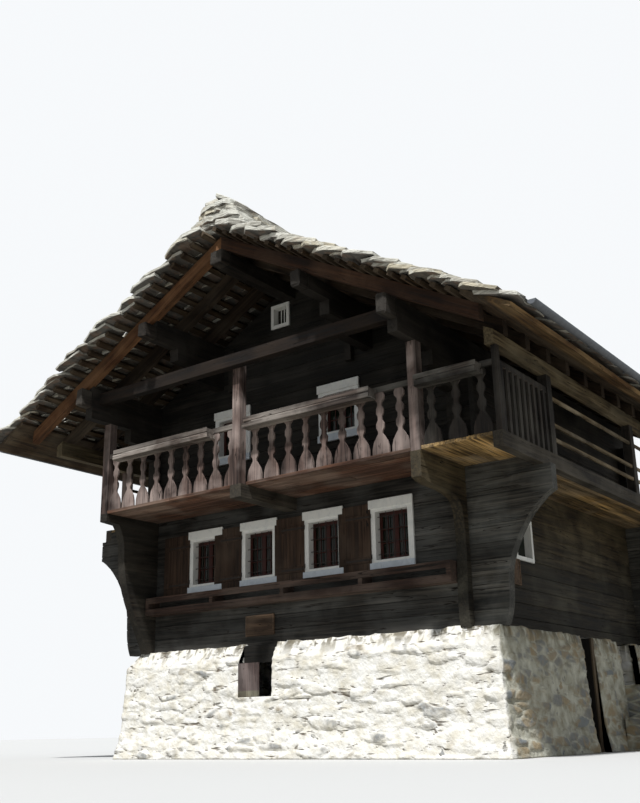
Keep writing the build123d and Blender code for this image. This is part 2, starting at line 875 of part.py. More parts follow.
# Windows
def casing(centre, width, bottom, head, side, top, sill):
    """Face boards and lining of a front window."""
    outer_x = (centre - width / 2, centre + width / 2)
    inner_x = (outer_x[0] + side, outer_x[1] - side)
    inner_z = (bottom + sill, head - top)
    boards = block(outer_x, (-casing_proud, 0), (bottom, head))
    box = block(
        (inner_x[0] - lining, inner_x[1] + lining),
        (-casing_proud, log_thickness),
        (inner_z[0] - lining, inner_z[1] + lining),
    )
    opening = block(inner_x, (-casing_proud - cut_past, log_thickness + cut_past), inner_z)
    return boards + box - opening


def sash(centre, width, bottom, head, side, top, sill, leaves):
    """Sash frame and its panes inside a casing."""
    x = (centre - width / 2 + side, centre + width / 2 - side)
    z = (bottom + sill, head - top)
    y = (sash_setback, sash_setback + sash_depth)
    frame = block(x, y, z)
    panes = []
    middle = (y[0] + y[1]) / 2
    glass_y = (middle - glass_thickness / 2, middle + glass_thickness / 2)
    leaf = (x[1] - x[0]) / leaves
    for number in range(leaves):
        pane_x = (x[0] + leaf * number + sash_member, x[0] + leaf * (number + 1) - sash_member)
        pane_z = (z[0] + sash_member, z[1] - sash_member)
        frame = frame - block(pane_x, (y[0] - cut_past, y[1] + cut_past), pane_z)
        panes.append(block(pane_x, glass_y, pane_z))
    return frame, panes


def front_windows():
    """Casings, sashes and panes of the front wall and gable."""
    boards = (casing_side, casing_head, casing_sill)
    thin = (small_casing, small_casing, small_casing)
    lower = (window_width, window_bottom, window_head, *boards)
    upper = (upper_window_width, upper_window_bottom, upper_window_head, *boards)
    head = gable_window_bottom + gable_window_height
    gable = (gable_window_width, gable_window_bottom, head, *thin)
    casings = []
    sashes = []
    panes = []
    for places, sizes, leaves in (
        (window_places, lower, 2),
        (upper_window_places, upper, 2),
        ((gable_window_place,), gable, 1),
    ):
        for place in places:
            casings.append(casing(place, *sizes))
            frame, glass = sash(place, *sizes, leaves)
            sashes.append(frame)
            panes += glass
    return casings, sashes, panes


def side_windows():
    """Small casing and pane in each side wall of the ground floor."""
    reach = side_window_width / 2
    y = (side_window_centre - reach, side_window_centre + reach)
    z = (side_window_bottom, side_window_head)
    inner_y = (y[0] + small_casing, y[1] - small_casing)
    inner_z = (z[0] + small_casing, z[1] - small_casing)
    boards = block((half, half + casing_proud), y, z)
    box = block(
        (inner, half + casing_proud),
        (inner_y[0] - lining, inner_y[1] + lining),
        (inner_z[0] - lining, inner_z[1] + lining),
    )
    opening = block((inner - cut_past, half + casing_proud + cut_past), inner_y, inner_z)
    frame = boards + box - opening
    middle = half - sash_setback
    glass_x = (middle - glass_thickness / 2, middle + glass_thickness / 2)
    pane = block(glass_x, inner_y, inner_z)
    return [frame] + other_side([frame]), [pane] + other_side([pane])


def windows():
    """Every window of the house."""
    casings, sashes, panes = front_windows()
    side_casings, side_panes = side_windows()
    save("window_casings", casings + side_casings)
    save("window_sashes", sashes)
    save("window_panes", panes + side_panes)


def shutters():
    """Single shutter leaves folded back against the wall."""
    solids = []
    for place in window_places:
        hinge = place - window_width / 2 + shutter_grip
        y = (-casing_proud - shutter_thickness, -casing_proud)
        z = (shutter_bottom, shutter_bottom + shutter_height)
        solids.append(block((hinge - shutter_width, hinge), y, z))
    save("shutters", solids)


def flower_shelf():
    """Long shelf below the windows with two front rails."""
    x = (-shelf_half_length, shelf_half_length)
    shelf = block(x, (-shelf_depth, 0), (shelf_bottom, shelf_bottom + shelf_board))
    front = (-shelf_depth, -shelf_depth + shelf_rail_thickness)
    shelf = shelf + block(x, front, (shelf_bottom, shelf_bottom + shelf_rail_height))
    shelf = shelf + block(x, front, (shelf_top - shelf_rail_height, shelf_top))
    for arm in range(shelf_arms):
        middle = x[0] + (x[1] - x[0] - shelf_arm_width) * arm / (shelf_arms - 1)
        arm_x = (middle, middle + shelf_arm_width)
        shelf = shelf + block(arm_x, (-shelf_depth, 0), (shelf_bottom, shelf_top))
    save("flower_shelf", [shelf])


def plaques():
    """Two plain boards on the walls."""
    x, rises = front_plaque
    front = block(x, (-plaque_thickness, 0), [plinth_height + rise for rise in rises])
    y, rises = side_plaque
    side = block((half, half + plaque_thickness), y, [plinth_height + rise for rise in rises])
    save("plaques", [front, side])


plinth_walls()
cellar_fittings()
floors()
lower_walls()
upper_walls()
gables()
gable_clamps()
roof_beams()
rafters()
battens()
roof_slabs()
ridge_cap()
gutters()
balcony_deck()
balcony_beams()
posts()
front_rail()
balusters()
side_rails()
trays()
windows()
shutters()
flower_shelf()
plaques()
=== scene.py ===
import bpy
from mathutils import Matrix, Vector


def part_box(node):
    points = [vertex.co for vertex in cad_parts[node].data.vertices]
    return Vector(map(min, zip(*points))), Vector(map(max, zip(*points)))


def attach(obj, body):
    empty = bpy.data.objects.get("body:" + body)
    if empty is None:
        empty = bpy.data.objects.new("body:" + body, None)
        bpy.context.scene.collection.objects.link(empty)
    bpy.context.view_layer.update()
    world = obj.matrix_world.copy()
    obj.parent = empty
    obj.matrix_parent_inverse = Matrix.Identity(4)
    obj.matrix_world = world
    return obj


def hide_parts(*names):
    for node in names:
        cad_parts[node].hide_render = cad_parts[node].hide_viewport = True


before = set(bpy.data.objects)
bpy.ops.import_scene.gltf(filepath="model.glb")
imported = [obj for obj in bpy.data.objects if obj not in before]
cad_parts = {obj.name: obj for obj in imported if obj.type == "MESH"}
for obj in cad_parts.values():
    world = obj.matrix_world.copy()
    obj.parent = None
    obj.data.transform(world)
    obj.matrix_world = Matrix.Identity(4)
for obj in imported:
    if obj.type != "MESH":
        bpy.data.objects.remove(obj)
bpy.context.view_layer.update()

# %% [markdown]
# ## Tools for the work
# Every new piece is a bmesh that ends as one object at the origin. A few helpers are enough:
# one starts a piece, one joins a part to it and gives the part a tone of its own, one turns
# the piece into an object that rides with the house, and one reads where the solids of a CAD
# node are, so that ironwork and boards fit them without typed places.
# %% Modules and the helpers
import random
from itertools import product
from math import atan2, cos, radians, sin, tan

import bmesh
import bpy
from mathutils import Matrix, Vector, noise


def new_piece():
    """An empty piece with a tone for each of its parts."""
    piece = bmesh.new()
    piece.verts.layers.float.new("tone")
    return piece


def join(piece, part, tone=0.5, place=None):
    """Add a part to a piece, at a place given as a matrix."""
    if place is not None:
        bmesh.ops.transform(part, matrix=place, verts=part.verts)
    held = bpy.data.meshes.new("held")
    part.to_mesh(held)
    part.free()
    first = len(piece.verts)
    piece.from_mesh(held)
    bpy.data.meshes.remove(held)
    piece.verts.ensure_lookup_table()
    layer = piece.verts.layers.float["tone"]
    for vert in piece.verts[first:]:
        vert[layer] = tone


def finish_piece(name, piece, material, stands_for=()):
    """Make a piece an object of the house."""
    mesh = bpy.data.meshes.new(name)
    piece.to_mesh(mesh)
    piece.free()
    mesh.materials.append(material)
    made = bpy.data.objects.new(name, mesh)
    bpy.context.scene.collection.objects.link(made)
    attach(made, "root")
    if stands_for:
        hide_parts(*stands_for)
    mesh.calc_loop_triangles()
    print(name, len(mesh.loop_triangles), "triangles")
    return made


def solids_of(node):
    """Low and high corner of each separate solid of a CAD node, from left to right."""
    shell = bmesh.new()
    shell.from_mesh(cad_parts[node].data)
    same_point = 0.0002
    bmesh.ops.remove_doubles(shell, verts=shell.verts, dist=same_point)
    waiting = set(shell.verts)
    boxes = []
    while waiting:
        reached = [waiting.pop()]
        for vert in reached:
            for edge in vert.link_edges:
                other = edge.other_vert(vert)
                if other in waiting:
                    waiting.discard(other)
                    reached.append(other)
        low = Vector([min(v.co[axis] for v in reached) for axis in range(3)])
        high = Vector([max(v.co[axis] for v in reached) for axis in range(3)])
        boxes.append((low, high))
    shell.free()
    return sorted(boxes, key=lambda box: tuple(box[0]))


print("posts on the balcony:", len(solids_of("balcony_posts")))

# %% [markdown]
# ## Sizes of the house
# The origin lies at the foot of the house, under the middle of the roof, so the front log wall
# is at y = -2.7 and the rear one at y = 3.7. These few sizes place the stones and boards. They
# repeat what the CAD model measures, and the reach of the roof is read from the model itself.
# %% Sizes in metres
wall_front, wall_rear, wall_side = -2.7, 3.7, 3.16
plinth_top = 1.68
log_course = 0.225
upper_storey, gable_storey = 3.5, 6.5
roof_pitch = radians(28.4)
roof_low, roof_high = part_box("roof_slabs_right")
ridge_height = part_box("ridge_purlin")[1].z
stone_bed = 0.25
stone_at_eave, stone_at_ridge = 0.12, 0.22
eave_run = (roof_high.x - (stone_bed + stone_at_eave) * sin(roof_pitch)) / cos(roof_pitch)
print("roof runs from", round(roof_low.y, 2), "to", round(roof_high.y, 2))
print("a slope measures", round(eave_run, 2), "from ridge to eaves")

# %% [markdown]
# ## Nodes for the finishes
# Pictures of wood and stone would need a place on every board. Noise in object coordinates
# needs none: it is stretched along the grain or the bedding of the real thing, and it keeps
# its size on every piece. Small helpers keep the node trees readable, so that a finish below
# reads like a recipe: take a noise, cut it off between two values, mix two colours by it.
# %% Helpers for a finish
def start_finish(name):
    """A new material, its tree, its shader and the object coordinates."""
    material = bpy.data.materials.new(name)
    material.use_nodes = True
    tree = material.node_tree
    place = tree.nodes.new("ShaderNodeTexCoord").outputs["Object"]
    return material, tree, tree.nodes["Principled BSDF"], place


def add_node(tree, kind, inputs, **settings):
    """Add a node, set it up and wire or fill its inputs."""
    made = tree.nodes.new("ShaderNode" + kind)
    for key, value in settings.items():
        setattr(made, key, value)
    for socket, value in inputs.items():
        if isinstance(value, bpy.types.NodeSocket):
            tree.links.new(value, made.inputs[socket])
        else:
            made.inputs[socket].default_value = value
    return made


def stretched(tree, place, scale, turn=0.0):
    """Coordinates turned about the house's front-to-back axis, then stretched."""
    turned = add_node(tree, "Mapping", {"Vector": place, "Rotation": (0, turn, 0)})
    return add_node(tree, "Mapping", {"Vector": turned.outputs[0], "Scale": scale}).outputs[0]


def grains(tree, place, scale, detail=4.0, distortion=0.0):
    """Grey noise between 0 and 1."""
    wanted = {"Vector": place, "Scale": scale, "Detail": detail, "Distortion": distortion}
    return add_node(tree, "TexNoise", wanted).outputs["Fac"]


def reckon(tree, operation, *values):
    """One step of arithmetic."""
    return add_node(tree, "Math", dict(enumerate(values)), operation=operation).outputs[0]


def times(tree, first, *others):
    """Product of two or more values."""
    for other in others:
        first = reckon(tree, "MULTIPLY", first, other)
    return first


def between(tree, value, low, high):
    """0 below low, 1 above high and a slope between them."""
    return add_node(tree, "MapRange", {"Value": value, "From Min": low, "From Max": high}).outputs[0]


def spread(tree, value, low, high):
    """Low where the value is 0, high where it is 1."""
    return add_node(tree, "MapRange", {"Value": value, "To Min": low, "To Max": high}).outputs[0]


trial = start_finish("trial")[0]
print("a finish starts with", len(trial.node_tree.nodes), "nodes")
bpy.data.materials.remove(trial)


# %% Helpers for colour and relief
def mixed(tree, share, first, second, blend="MIX"):
    """Mix of two colours."""
    made = add_node(tree, "Mix", {0: share, 6: first, 7: second}, data_type="RGBA")
    made.blend_type = blend
    return made.outputs[2]


def axis_of(tree, vector, axis):
    """One part of a vector."""
    return add_node(tree, "SeparateXYZ", {0: vector}).outputs[axis]


def facing(tree, axis):
    """How far the surface faces along an axis, from -1 to 1."""
    return axis_of(tree, add_node(tree, "NewGeometry", {}).outputs["Normal"], axis)


def told(tree, name):
    """A value that the points of the piece carry."""
    return add_node(tree, "Attribute", {}, attribute_name=name).outputs["Fac"]


def rough_relief(tree, shader, height, depth):
    """Bump with a real depth in metres."""
    bump = add_node(tree, "Bump", {"Height": height, "Strength": 1.0, "Distance": depth})
    tree.links.new(bump.outputs[0], shader.inputs["Normal"])


def colour(red, green, blue):
    """A colour as it is read on a screen, for the shader."""
    return tuple((part / 255) ** 2.2 for part in (red, green, blue)) + (1.0,)


print("middle grey is", round(colour(128, 128, 128)[0], 3), "to the shader")

# %% [markdown]
# ## Grain, courses and cut ends
# A timber shows three patterns along its grain: fine fibres, broad streaks where water ran, and
# drying cracks. Each is one noise drawn out along the timber, and a crack is the thin band
# where its noise crosses the middle value. A log wall has a tone for each course, which comes
# from the height, and cut ends are found by the way they face and get paler rings.
# %% Patterns of the grain
# Waves a metre across and along the grain, then detail and warp.
grain_patterns = {
    "fibre": (26.0, 1.1, 7.0, 0.5),
    "streak": (5.0, 0.5, 5.0, 0.8),
    "crack": (11.0, 0.35, 3.0, 0.8),
}
crack_width = 0.006
crack_black = (0.012, 0.009, 0.007, 1)
end_grain_share = 0.3


def drawn_out(tree, place, pattern, axis, turn):
    """A pattern of the grain, drawn out along one axis."""
    across, along, detail, warp = grain_patterns[pattern]
    scale = [across] * 3
    scale[axis] = along
    return grains(tree, stretched(tree, place, scale, turn), 1.0, detail, warp)


def course_tone(tree, place):
    """A tone that is drawn at random for each course of logs."""
    course = reckon(tree, "DIVIDE", axis_of(tree, place, "Z"), log_course)
    course = reckon(tree, "ADD", course, -plinth_top / log_course)
    course = reckon(tree, "FLOOR", course)
    return add_node(tree, "TexWhiteNoise", {"W": course}, noise_dimensions="1D").outputs[0]


def tinted(tree, place, base, tint):
    """A tint that grows from one place on an axis to another."""
    axis, start, full, factors = tint
    changed = mixed(tree, 1.0, base, factors, "MULTIPLY")
    return mixed(tree, between(tree, axis_of(tree, place, axis), start, full), base, changed)


def cut_ends(tree, place, base, axis, deep, silver):
    """Paler rings where the surface faces along the grain."""
    end = between(tree, reckon(tree, "ABSOLUTE", facing(tree, axis)), 0.55, 0.8)
    rings = mixed(tree, grains(tree, place, 30.0, 5.0, 1.5), deep, silver)
    return mixed(tree, times(tree, end, end_grain_share), base, rings)


print("patterns of the grain:", ", ".join(grain_patterns))

# %% [markdown]
# ## Old wood
# Sun and rain turn larch from honey to brown, then to black, and to silver where it stays wet.
# So every wood here is the same recipe with three colours: deep in the grooves of the fibre,
# pale on its ridges, and silver in worn patches. Boards that were laid one by one are lighter
# or darker by their own tone. Where one end of a timber is younger, cleaner or blacker than
# the rest, a tint starts at a coordinate, which is simpler than a second material. On the
# balcony the same tint paints shade: it darkens the right corner and the right part of the rails.
# %% Wood finish
def old_wood(
    name, grain, deep, pale, silver, turn=0.0, courses=False, silver_share=0.35, tint=None,
    contrast=1.0,
):
    """Weathered wood with its grain along X, Y or Z."""
    material, tree, shader, place = start_finish(name)
    deep, pale, silver = colour(*deep), colour(*pale), colour(*silver)
    axis = "XYZ".index(grain)
    fibre, streak, crack = (drawn_out(tree, place, kind, axis, turn) for kind in grain_patterns)
    crack = reckon(tree, "COMPARE", crack, 0.5, crack_width)
    crack = times(tree, crack, between(tree, fibre, 0.42, 0.55))
    base = mixed(tree, between(tree, fibre, 0.36, 0.66), deep, pale)
    worn = between(tree, grains(tree, place, 1.4, 5.0, 0.3), 0.42, 0.62)
    base = mixed(tree, times(tree, worn, silver_share * 2), base, silver)
    if tint:
        base = tinted(tree, place, base, tint)
    tone = course_tone(tree, place) if courses else told(tree, "tone")
    for value, swing in ((tone, 0.34), (between(tree, streak, 0.35, 0.65), 0.4)):
        shade = spread(tree, value, 1 - swing * contrast, 1 + swing * contrast)
        base = mixed(tree, 1.0, base, shade, "MULTIPLY")
    base = cut_ends(tree, place, base, axis, deep, silver)
    tree.links.new(mixed(tree, crack, base, crack_black), shader.inputs["Base Color"])
    tree.links.new(spread(tree, fibre, 0.72, 0.95), shader.inputs["Roughness"])
    shader.inputs["Specular IOR Level"].default_value = 0.25
    height = reckon(tree, "SUBTRACT", fibre, times(tree, crack, 1.6))
    height = reckon(tree, "ADD", height, times(tree, streak, 0.6))
    rough_relief(tree, shader, height, 0.01)
    return material


logs_x = old_wood(
    "black larch logs, long", "X", (15, 15, 14), (42, 39, 35), (58, 56, 52),
    courses=True, silver_share=0.22,
)
logs_y = old_wood(
    "black larch logs, deep", "Y", (20, 18, 16), (50, 45, 39), (68, 65, 59),
    courses=True, silver_share=0.22,
)
logs_low = old_wood(
    "weathered larch logs", "X", (28, 28, 27), (65, 62, 58), (93, 93, 91),
    courses=True, silver_share=0.22, tint=("X", 2.2, 3.3, (1.7, 1.72, 1.68, 1)),
)
logs_side = old_wood(
    "side logs, brown under the loggia", "Y", (24, 22, 19), (56, 52, 44), (80, 78, 70),
    courses=True, silver_share=0.22, tint=("Z", 2.6, 3.7, (1.9, 1.6, 1.15, 1)),
)
print("wood finishes for the logs:", len(bpy.data.materials))

# %% [markdown]
# ## One finish for each way that the timber lies
# A grain that runs the wrong way gives a timber away at once. So beams along the ridge, beams
# across the house, sloping rafters and upright posts each have a finish of their own. The
# sloping ones turn the coordinates by the pitch of the roof before they are stretched.
# %% Finishes for the roof timbers
beams_y = old_wood("roof beams", "Y", (20, 18, 17), (52, 46, 40), (72, 68, 63))
eave_plate_wood = old_wood("eave plates", "Y", (66, 56, 42), (128, 113, 86), (140, 128, 104))
beams_x = old_wood("cross beams", "X", (15, 12, 10), (44, 34, 27), (56, 46, 38))
rafter_wood_right = old_wood(
    "rafters, right", "X", (36, 28, 22), (76, 60, 46), (96, 84, 72),
    turn=-roof_pitch, tint=("Y", -4.2, -4.3, (1.3, 0.95, 0.8, 1)),
)
rafter_wood_left = old_wood(
    "rafters, left", "X", (40, 32, 26), (78, 64, 52), (98, 88, 76),
    turn=roof_pitch, tint=("Y", -4.2, -4.3, (3.0, 2.0, 1.35, 1)),
)
batten_wood = old_wood(
    "roof battens", "Y", (44, 33, 25), (92, 74, 54), (108, 96, 80),
    tint=("X", 4.66, 4.76, (2.7, 2.3, 1.6, 1)),
)
print("wood finishes with the roof:", len(bpy.data.materials))

# %% Finishes for the balcony and the boards
# From X = 3.12 to 3.22 a tint paints shade: posts, balusters and the slatted panel at the balcony's
# right corner drop to about a fifth of their colour.
upright_wood = old_wood(
    "posts and balusters", "Z", (48, 38, 35), (130, 109, 101), (184, 166, 158),
    silver_share=0.4, tint=("X", 3.12, 3.22, (0.2, 0.23, 0.22, 1)),
)
# From X = 2.3 to 2.5 a tint paints shade: the long rails and the flower box boards on the right part of
# the balcony drop to under half of their colour.
rail_wood_x = old_wood(
    "rails, long", "X", (50, 43, 40), (112, 100, 92), (152, 144, 136),
    silver_share=0.45, tint=("X", 2.3, 2.5, (0.45, 0.48, 0.48, 1)),
)
rail_wood_y = old_wood(
    "rails, deep", "Y", (78, 66, 50), (150, 132, 102), (166, 152, 128), silver_share=0.5
)
beam_wood_y = old_wood("balcony edge beams", "Y", (38, 34, 30), (80, 73, 62), (106, 100, 90))
deck_wood_x = old_wood("front deck planks", "X", (56, 40, 33), (114, 81, 64), (128, 110, 98))
deck_wood_y = old_wood(
    "side deck planks", "Y", (62, 49, 32), (176, 143, 92), (148, 130, 104), contrast=1.4
)
shelf_wood = old_wood("shelf boards", "X", (44, 33, 28), (94, 72, 62), (114, 99, 90))
shutter_wood = old_wood(
    "shutter planks", "Z", (43, 33, 27), (70, 55, 45), (82, 69, 59), contrast=0.6
)
plaque_wood = old_wood("plaque boards", "X", (72, 57, 46), (120, 98, 80), (134, 115, 99))
post_wood = old_wood(
    "cellar timber", "Z", (52, 42, 40), (116, 98, 94), (156, 142, 138),
    tint=("Z", 1.0, 0.98, (1.35, 1.6, 1.25, 1)),
)
slot_post_wood = old_wood(
    "cellar slot post", "Z", (12, 11, 10), (30, 26, 23), (38, 35, 32),
    tint=("X", 3.57, 3.59, (14, 12.5, 9.5, 1)),
)
print("wood finishes in all:", len(bpy.data.materials))

# %% [markdown]
# ## Split stone for the roof
# Gneiss splits into slabs a hand thick. Its old faces are grey with lichen and a little rust,
# the broken rims are pale and show the beds of the rock as thin lines, the tops have weathered
# dull, and the undersides are dusty brown and painted darker still, a painted shade that keeps
# the light thrown up from the floor off them. One material can hold all of these, because
# the way that a face looks tells top, rim and underside apart. Each slab also has a tone.
# %% Roof stone finish
slab_tones = (
    (0.0, (160, 155, 146)), (0.2, (202, 199, 192)), (0.42, (188, 178, 158)),
    (0.6, (212, 210, 204)), (0.8, (170, 166, 158)), (1.0, (206, 203, 196)),
)


def stone_faces(tree, place, blotch):
    """Grey and beige faces by the tone of the slab, with lichen and rust."""
    ramp = add_node(tree, "ValToRGB", {0: told(tree, "tone")})
    for share, shade in slab_tones[1:-1]:
        ramp.color_ramp.elements.new(share)
    for element, (share, shade) in zip(ramp.color_ramp.elements, slab_tones):
        element.position = share
        element.color = colour(*shade)
    base = mixed(tree, between(tree, blotch, 0.52, 0.85), ramp.outputs[0], colour(138, 132, 122))
    lichen = between(tree, grains(tree, place, 11.0, 7.0, 0.6), 0.56, 0.64)
    base = mixed(tree, times(tree, lichen, 0.6), base, colour(206, 204, 196))
    rust = between(tree, grains(tree, place, 3.2, 5.0, 1.0), 0.6, 0.72)
    return mixed(tree, times(tree, rust, 0.35), base, colour(168, 136, 96))


def roof_stone_finish():
    """Gneiss with pale broken rims, dusty undersides darkened by painted shade, and weathered tops."""
    material, tree, shader, place = start_finish("split gneiss")
    blotch = grains(tree, place, 5.0, 6.0, 0.4)
    speckle = grains(tree, place, 60.0, 3.0)
    beds = grains(tree, stretched(tree, place, (3.0, 3.0, 80.0)), 1.0, 4.0, 0.2)
    upward = facing(tree, "Z")
    steep = between(tree, upward, 0.75, 0.4)
    broken = times(tree, between(tree, upward, -0.5, -0.2), steep)
    base = stone_faces(tree, place, blotch)
    base = mixed(tree, broken, base, (1.24, 1.26, 1.22, 1), "MULTIPLY")
    bed_lines = times(tree, between(tree, beds, 0.52, 0.62), steep, 0.5)
    base = mixed(tree, bed_lines, base, colour(74, 66, 54))
    # Faces that look down turn a dusty dark brown, which is partly painted shade that keeps the light
    # thrown up from the floor off them.
    dust_and_shade = mixed(tree, between(tree, blotch, 0.5, 0.58), colour(44, 40, 37), colour(92, 70, 55))
    base = mixed(tree, times(tree, between(tree, upward, -0.6, -0.78), 0.8), base, dust_and_shade)
    dull = mixed(tree, between(tree, blotch, 0.45, 0.6), colour(112, 108, 100), colour(134, 134, 128))
    base = mixed(tree, times(tree, between(tree, upward, 0.6, 0.85), 0.55), base, dull)
    base = mixed(tree, 0.4, base, spread(tree, speckle, 0.7, 1.3), "MULTIPLY")
    tree.links.new(base, shader.inputs["Base Color"])
    shader.inputs["Roughness"].default_value = 0.88
    height = reckon(tree, "ADD", blotch, times(tree, beds, 1.2))
    height = reckon(tree, "ADD", height, times(tree, speckle, 0.3))
    rough_relief(tree, shader, height, 0.012)
    return material


roof_stone = roof_stone_finish()
print("stone tones on the roof:", len(slab_tones))

# %% [markdown]
# ## One slab of stone
# A slab is split along its bed and knocked nearly square, so it is flat with a ragged rim. It
# could be a cube with a displaced skin, but the roof has some six hundred, so each must be
# small. It starts as a circle of 14 points pressed nearly square, is raised to its
# thickness, and has both rims broken off by a bevel.
# %% One slab
rim_points = 14
squareness = 9


def stone_slab(chance, length, width, thickness):
    """A split slab with its middle at the origin, its length along X."""
    slab = bmesh.new()
    bmesh.ops.create_circle(slab, cap_ends=True, segments=rim_points, radius=0.5)
    for vert in slab.verts:
        angle = atan2(vert.co.y, vert.co.x)
        square = (abs(cos(angle)) ** squareness + abs(sin(angle)) ** squareness) ** (-1 / squareness)
        vert.co *= square * chance.uniform(0.82, 1.06)
    raised = bmesh.ops.extrude_face_region(slab, geom=slab.faces[:])["geom"]
    upper = [item for item in raised if isinstance(item, bmesh.types.BMVert)]
    bmesh.ops.translate(slab, verts=upper, vec=(0, 0, 1))
    bmesh.ops.recalc_face_normals(slab, faces=slab.faces)
    bmesh.ops.translate(slab, verts=slab.verts, vec=(0, 0, -0.5))
    bmesh.ops.scale(slab, vec=(length, width, thickness), verts=slab.verts)
    rims = [edge for edge in slab.edges if abs(edge.verts[0].co.z - edge.verts[1].co.z) < 1e-6]
    bmesh.ops.bevel(
        slab, geom=rims, offset=thickness * chance.uniform(0.1, 0.2), offset_type="OFFSET",
        affect="EDGES", segments=1, profile=0.5, material=-1,
    )
    for vert in slab.verts:
        vert.co.z += chance.uniform(-0.1, 0.1) * thickness
        vert.co.x += chance.uniform(-0.014, 0.014)
    return slab


trial = stone_slab(random.Random(1), 0.6, 0.7, 0.08)
print("faces of one slab:", len(trial.faces))
trial.free()

# %% [markdown]
# ## Laying the roof
# A roof of split stone is laid from the eaves up. The head of each slab rests on a batten and its
# foot on the course below, so every course tips up a little and shows a thick broken edge. The
# work is done in a frame that lies on the slope, because there a slab needs only a place and a
# small lean. Widths are drawn at random, so joints never line up, and the slabs at the verge
# are larger and thicker, as they hold the edge.
# %% Widths and leans of the slabs
roof_courses = 21
slab_length = 0.62
ridge_run = 0.38
narrowest_slab = 0.2
verge_swing = (-0.08, 0.1)


def slope_frame(side):
    """Matrix from (down the slope, along the ridge, out of the roof) to the house."""
    down = Vector((side * cos(roof_pitch), 0, -sin(roof_pitch)))
    out = Vector((side * sin(roof_pitch), 0, cos(roof_pitch)))
    turned = Matrix((down, out.cross(down), out)).transposed().to_4x4()
    return Matrix.Translation((0, 0, ridge_height)) @ turned


def slab_width(chance, room, verge):
    """Width of the next slab in the room that is left of its course."""
    width = chance.uniform(0.5, 0.85) if verge else min(chance.uniform(0.3, 0.78), room)
    if room - width < narrowest_slab:
        width = room + chance.uniform(*verge_swing)
    return width


def slab_lean(chance, tilt):
    """A slab tipped up by its course, and a little out of true."""
    lean = Matrix.Rotation(-tilt - chance.uniform(-0.02, 0.05), 4, "Y")
    lean = lean @ Matrix.Rotation(chance.uniform(-0.03, 0.03), 4, "X")
    return lean @ Matrix.Rotation(chance.uniform(-0.1, 0.1), 4, "Z")


print("a course every", round((eave_run - ridge_run) / roof_courses, 3), "m")


# %% Courses of slabs up each slope
def lay_course(roof, chance, slope, foot, step):
    """One course from verge to verge, its lower edge at a place down the slope."""
    reach = roof_high.y
    cover = stone_at_ridge + (stone_at_eave - stone_at_ridge) * foot / eave_run
    usual = cover / (1 + slab_length / step)
    tilt = usual / step
    edge = -reach - chance.uniform(*verge_swing)
    while edge < reach - 0.12:
        verge = edge < 0.1 - reach
        width = slab_width(chance, reach - edge, verge)
        thickness = usual * chance.uniform(*((1.1, 1.6) if verge else (0.85, 1.3)))
        slab = stone_slab(chance, slab_length * chance.uniform(0.94, 1.1), width + 0.02, thickness)
        rise = stone_bed + cover - usual / 2 - tilt * slab_length / 2 + chance.uniform(-0.01, 0.012)
        low = foot - slab_length / 2 + chance.uniform(-0.05, 0.07 if verge else 0.04)
        lean = slab_lean(chance, tilt)
        spot = Matrix.Translation((low, edge + width / 2, rise)) @ lean
        join(roof, slab, chance.random(), slope @ spot)
        edge += width


def lay_slope(name, side, seed, node):
    """Cover one slope, from the eaves to the ridge."""
    chance = random.Random(seed)
    roof = new_piece()
    step = (eave_run - ridge_run) / roof_courses
    for course in range(roof_courses):
        lay_course(roof, chance, slope_frame(side), eave_run - course * step, step)
    return finish_piece(name, roof, roof_stone, [node])


lay_slope("roof_stones_right", 1, 11, "roof_slabs_right")
lay_slope("roof_stones_left", -1, 12, "roof_slabs_left")

# %% [markdown]
# ## Closing the ridge
# Flat stones are stacked across the ridge in narrowing layers, and the last pair leans
# together like a book laid open. Their weight holds the slabs of both slopes. The same slab
# serves for both, laid flat in the layers and tipped by half a radian in the pair, and one
# helper shares out the length of the ridge among the stones of a layer.
# %% Ridge stones
cap_low, cap_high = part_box("ridge_cap")
stack_top = cap_high.z - 0.175
layer_halves = (0.52, 0.49, 0.43, 0.38, 0.32, 0.28)
layer_depth, layer_stone = 0.08, 0.095
pair_width, pair_stone, pair_lean = 0.44, 0.07, 0.52


def stone_runs(chance, edge, shortest, longest):
    """Start and length of each stone along the ridge."""
    while edge < cap_high.y - 0.1:
        run = min(chance.uniform(shortest, longest), cap_high.y + 0.03 - edge)
        yield edge, run
        edge += run


def lay_ridge():
    """Layers of flat stones and a leaning pair on top."""
    chance = random.Random(21)
    ridge = new_piece()
    for layer, half in enumerate(layer_halves):
        level = stack_top - (len(layer_halves) - layer - 0.5) * layer_depth
        for edge, run in stone_runs(chance, cap_low.y - chance.uniform(0.0, 0.08), 0.4, 0.8):
            for side in (-1, 1):
                slab = stone_slab(chance, half + 0.12, run + 0.02, layer_stone)
                tilt = Matrix.Rotation(side * chance.uniform(0.02, 0.12), 4, "Y")
                spot = Matrix.Translation((side * half / 2, edge + run / 2, level))
                join(ridge, slab, chance.random(), spot @ tilt)
    for edge, run in stone_runs(chance, cap_low.y - 0.03, 0.6, 1.0):
        for side in (-1, 1):
            slab = stone_slab(chance, pair_width, run + 0.02, pair_stone)
            level = stack_top + 0.055 + chance.uniform(-0.01, 0.015)
            spot = Matrix.Translation((side * 0.17, edge + run / 2, level))
            join(ridge, slab, chance.random(), spot @ Matrix.Rotation(side * pair_lean, 4, "Y"))
    return finish_piece("ridge_stones", ridge, roof_stone, ["ridge_cap"])


lay_ridge()

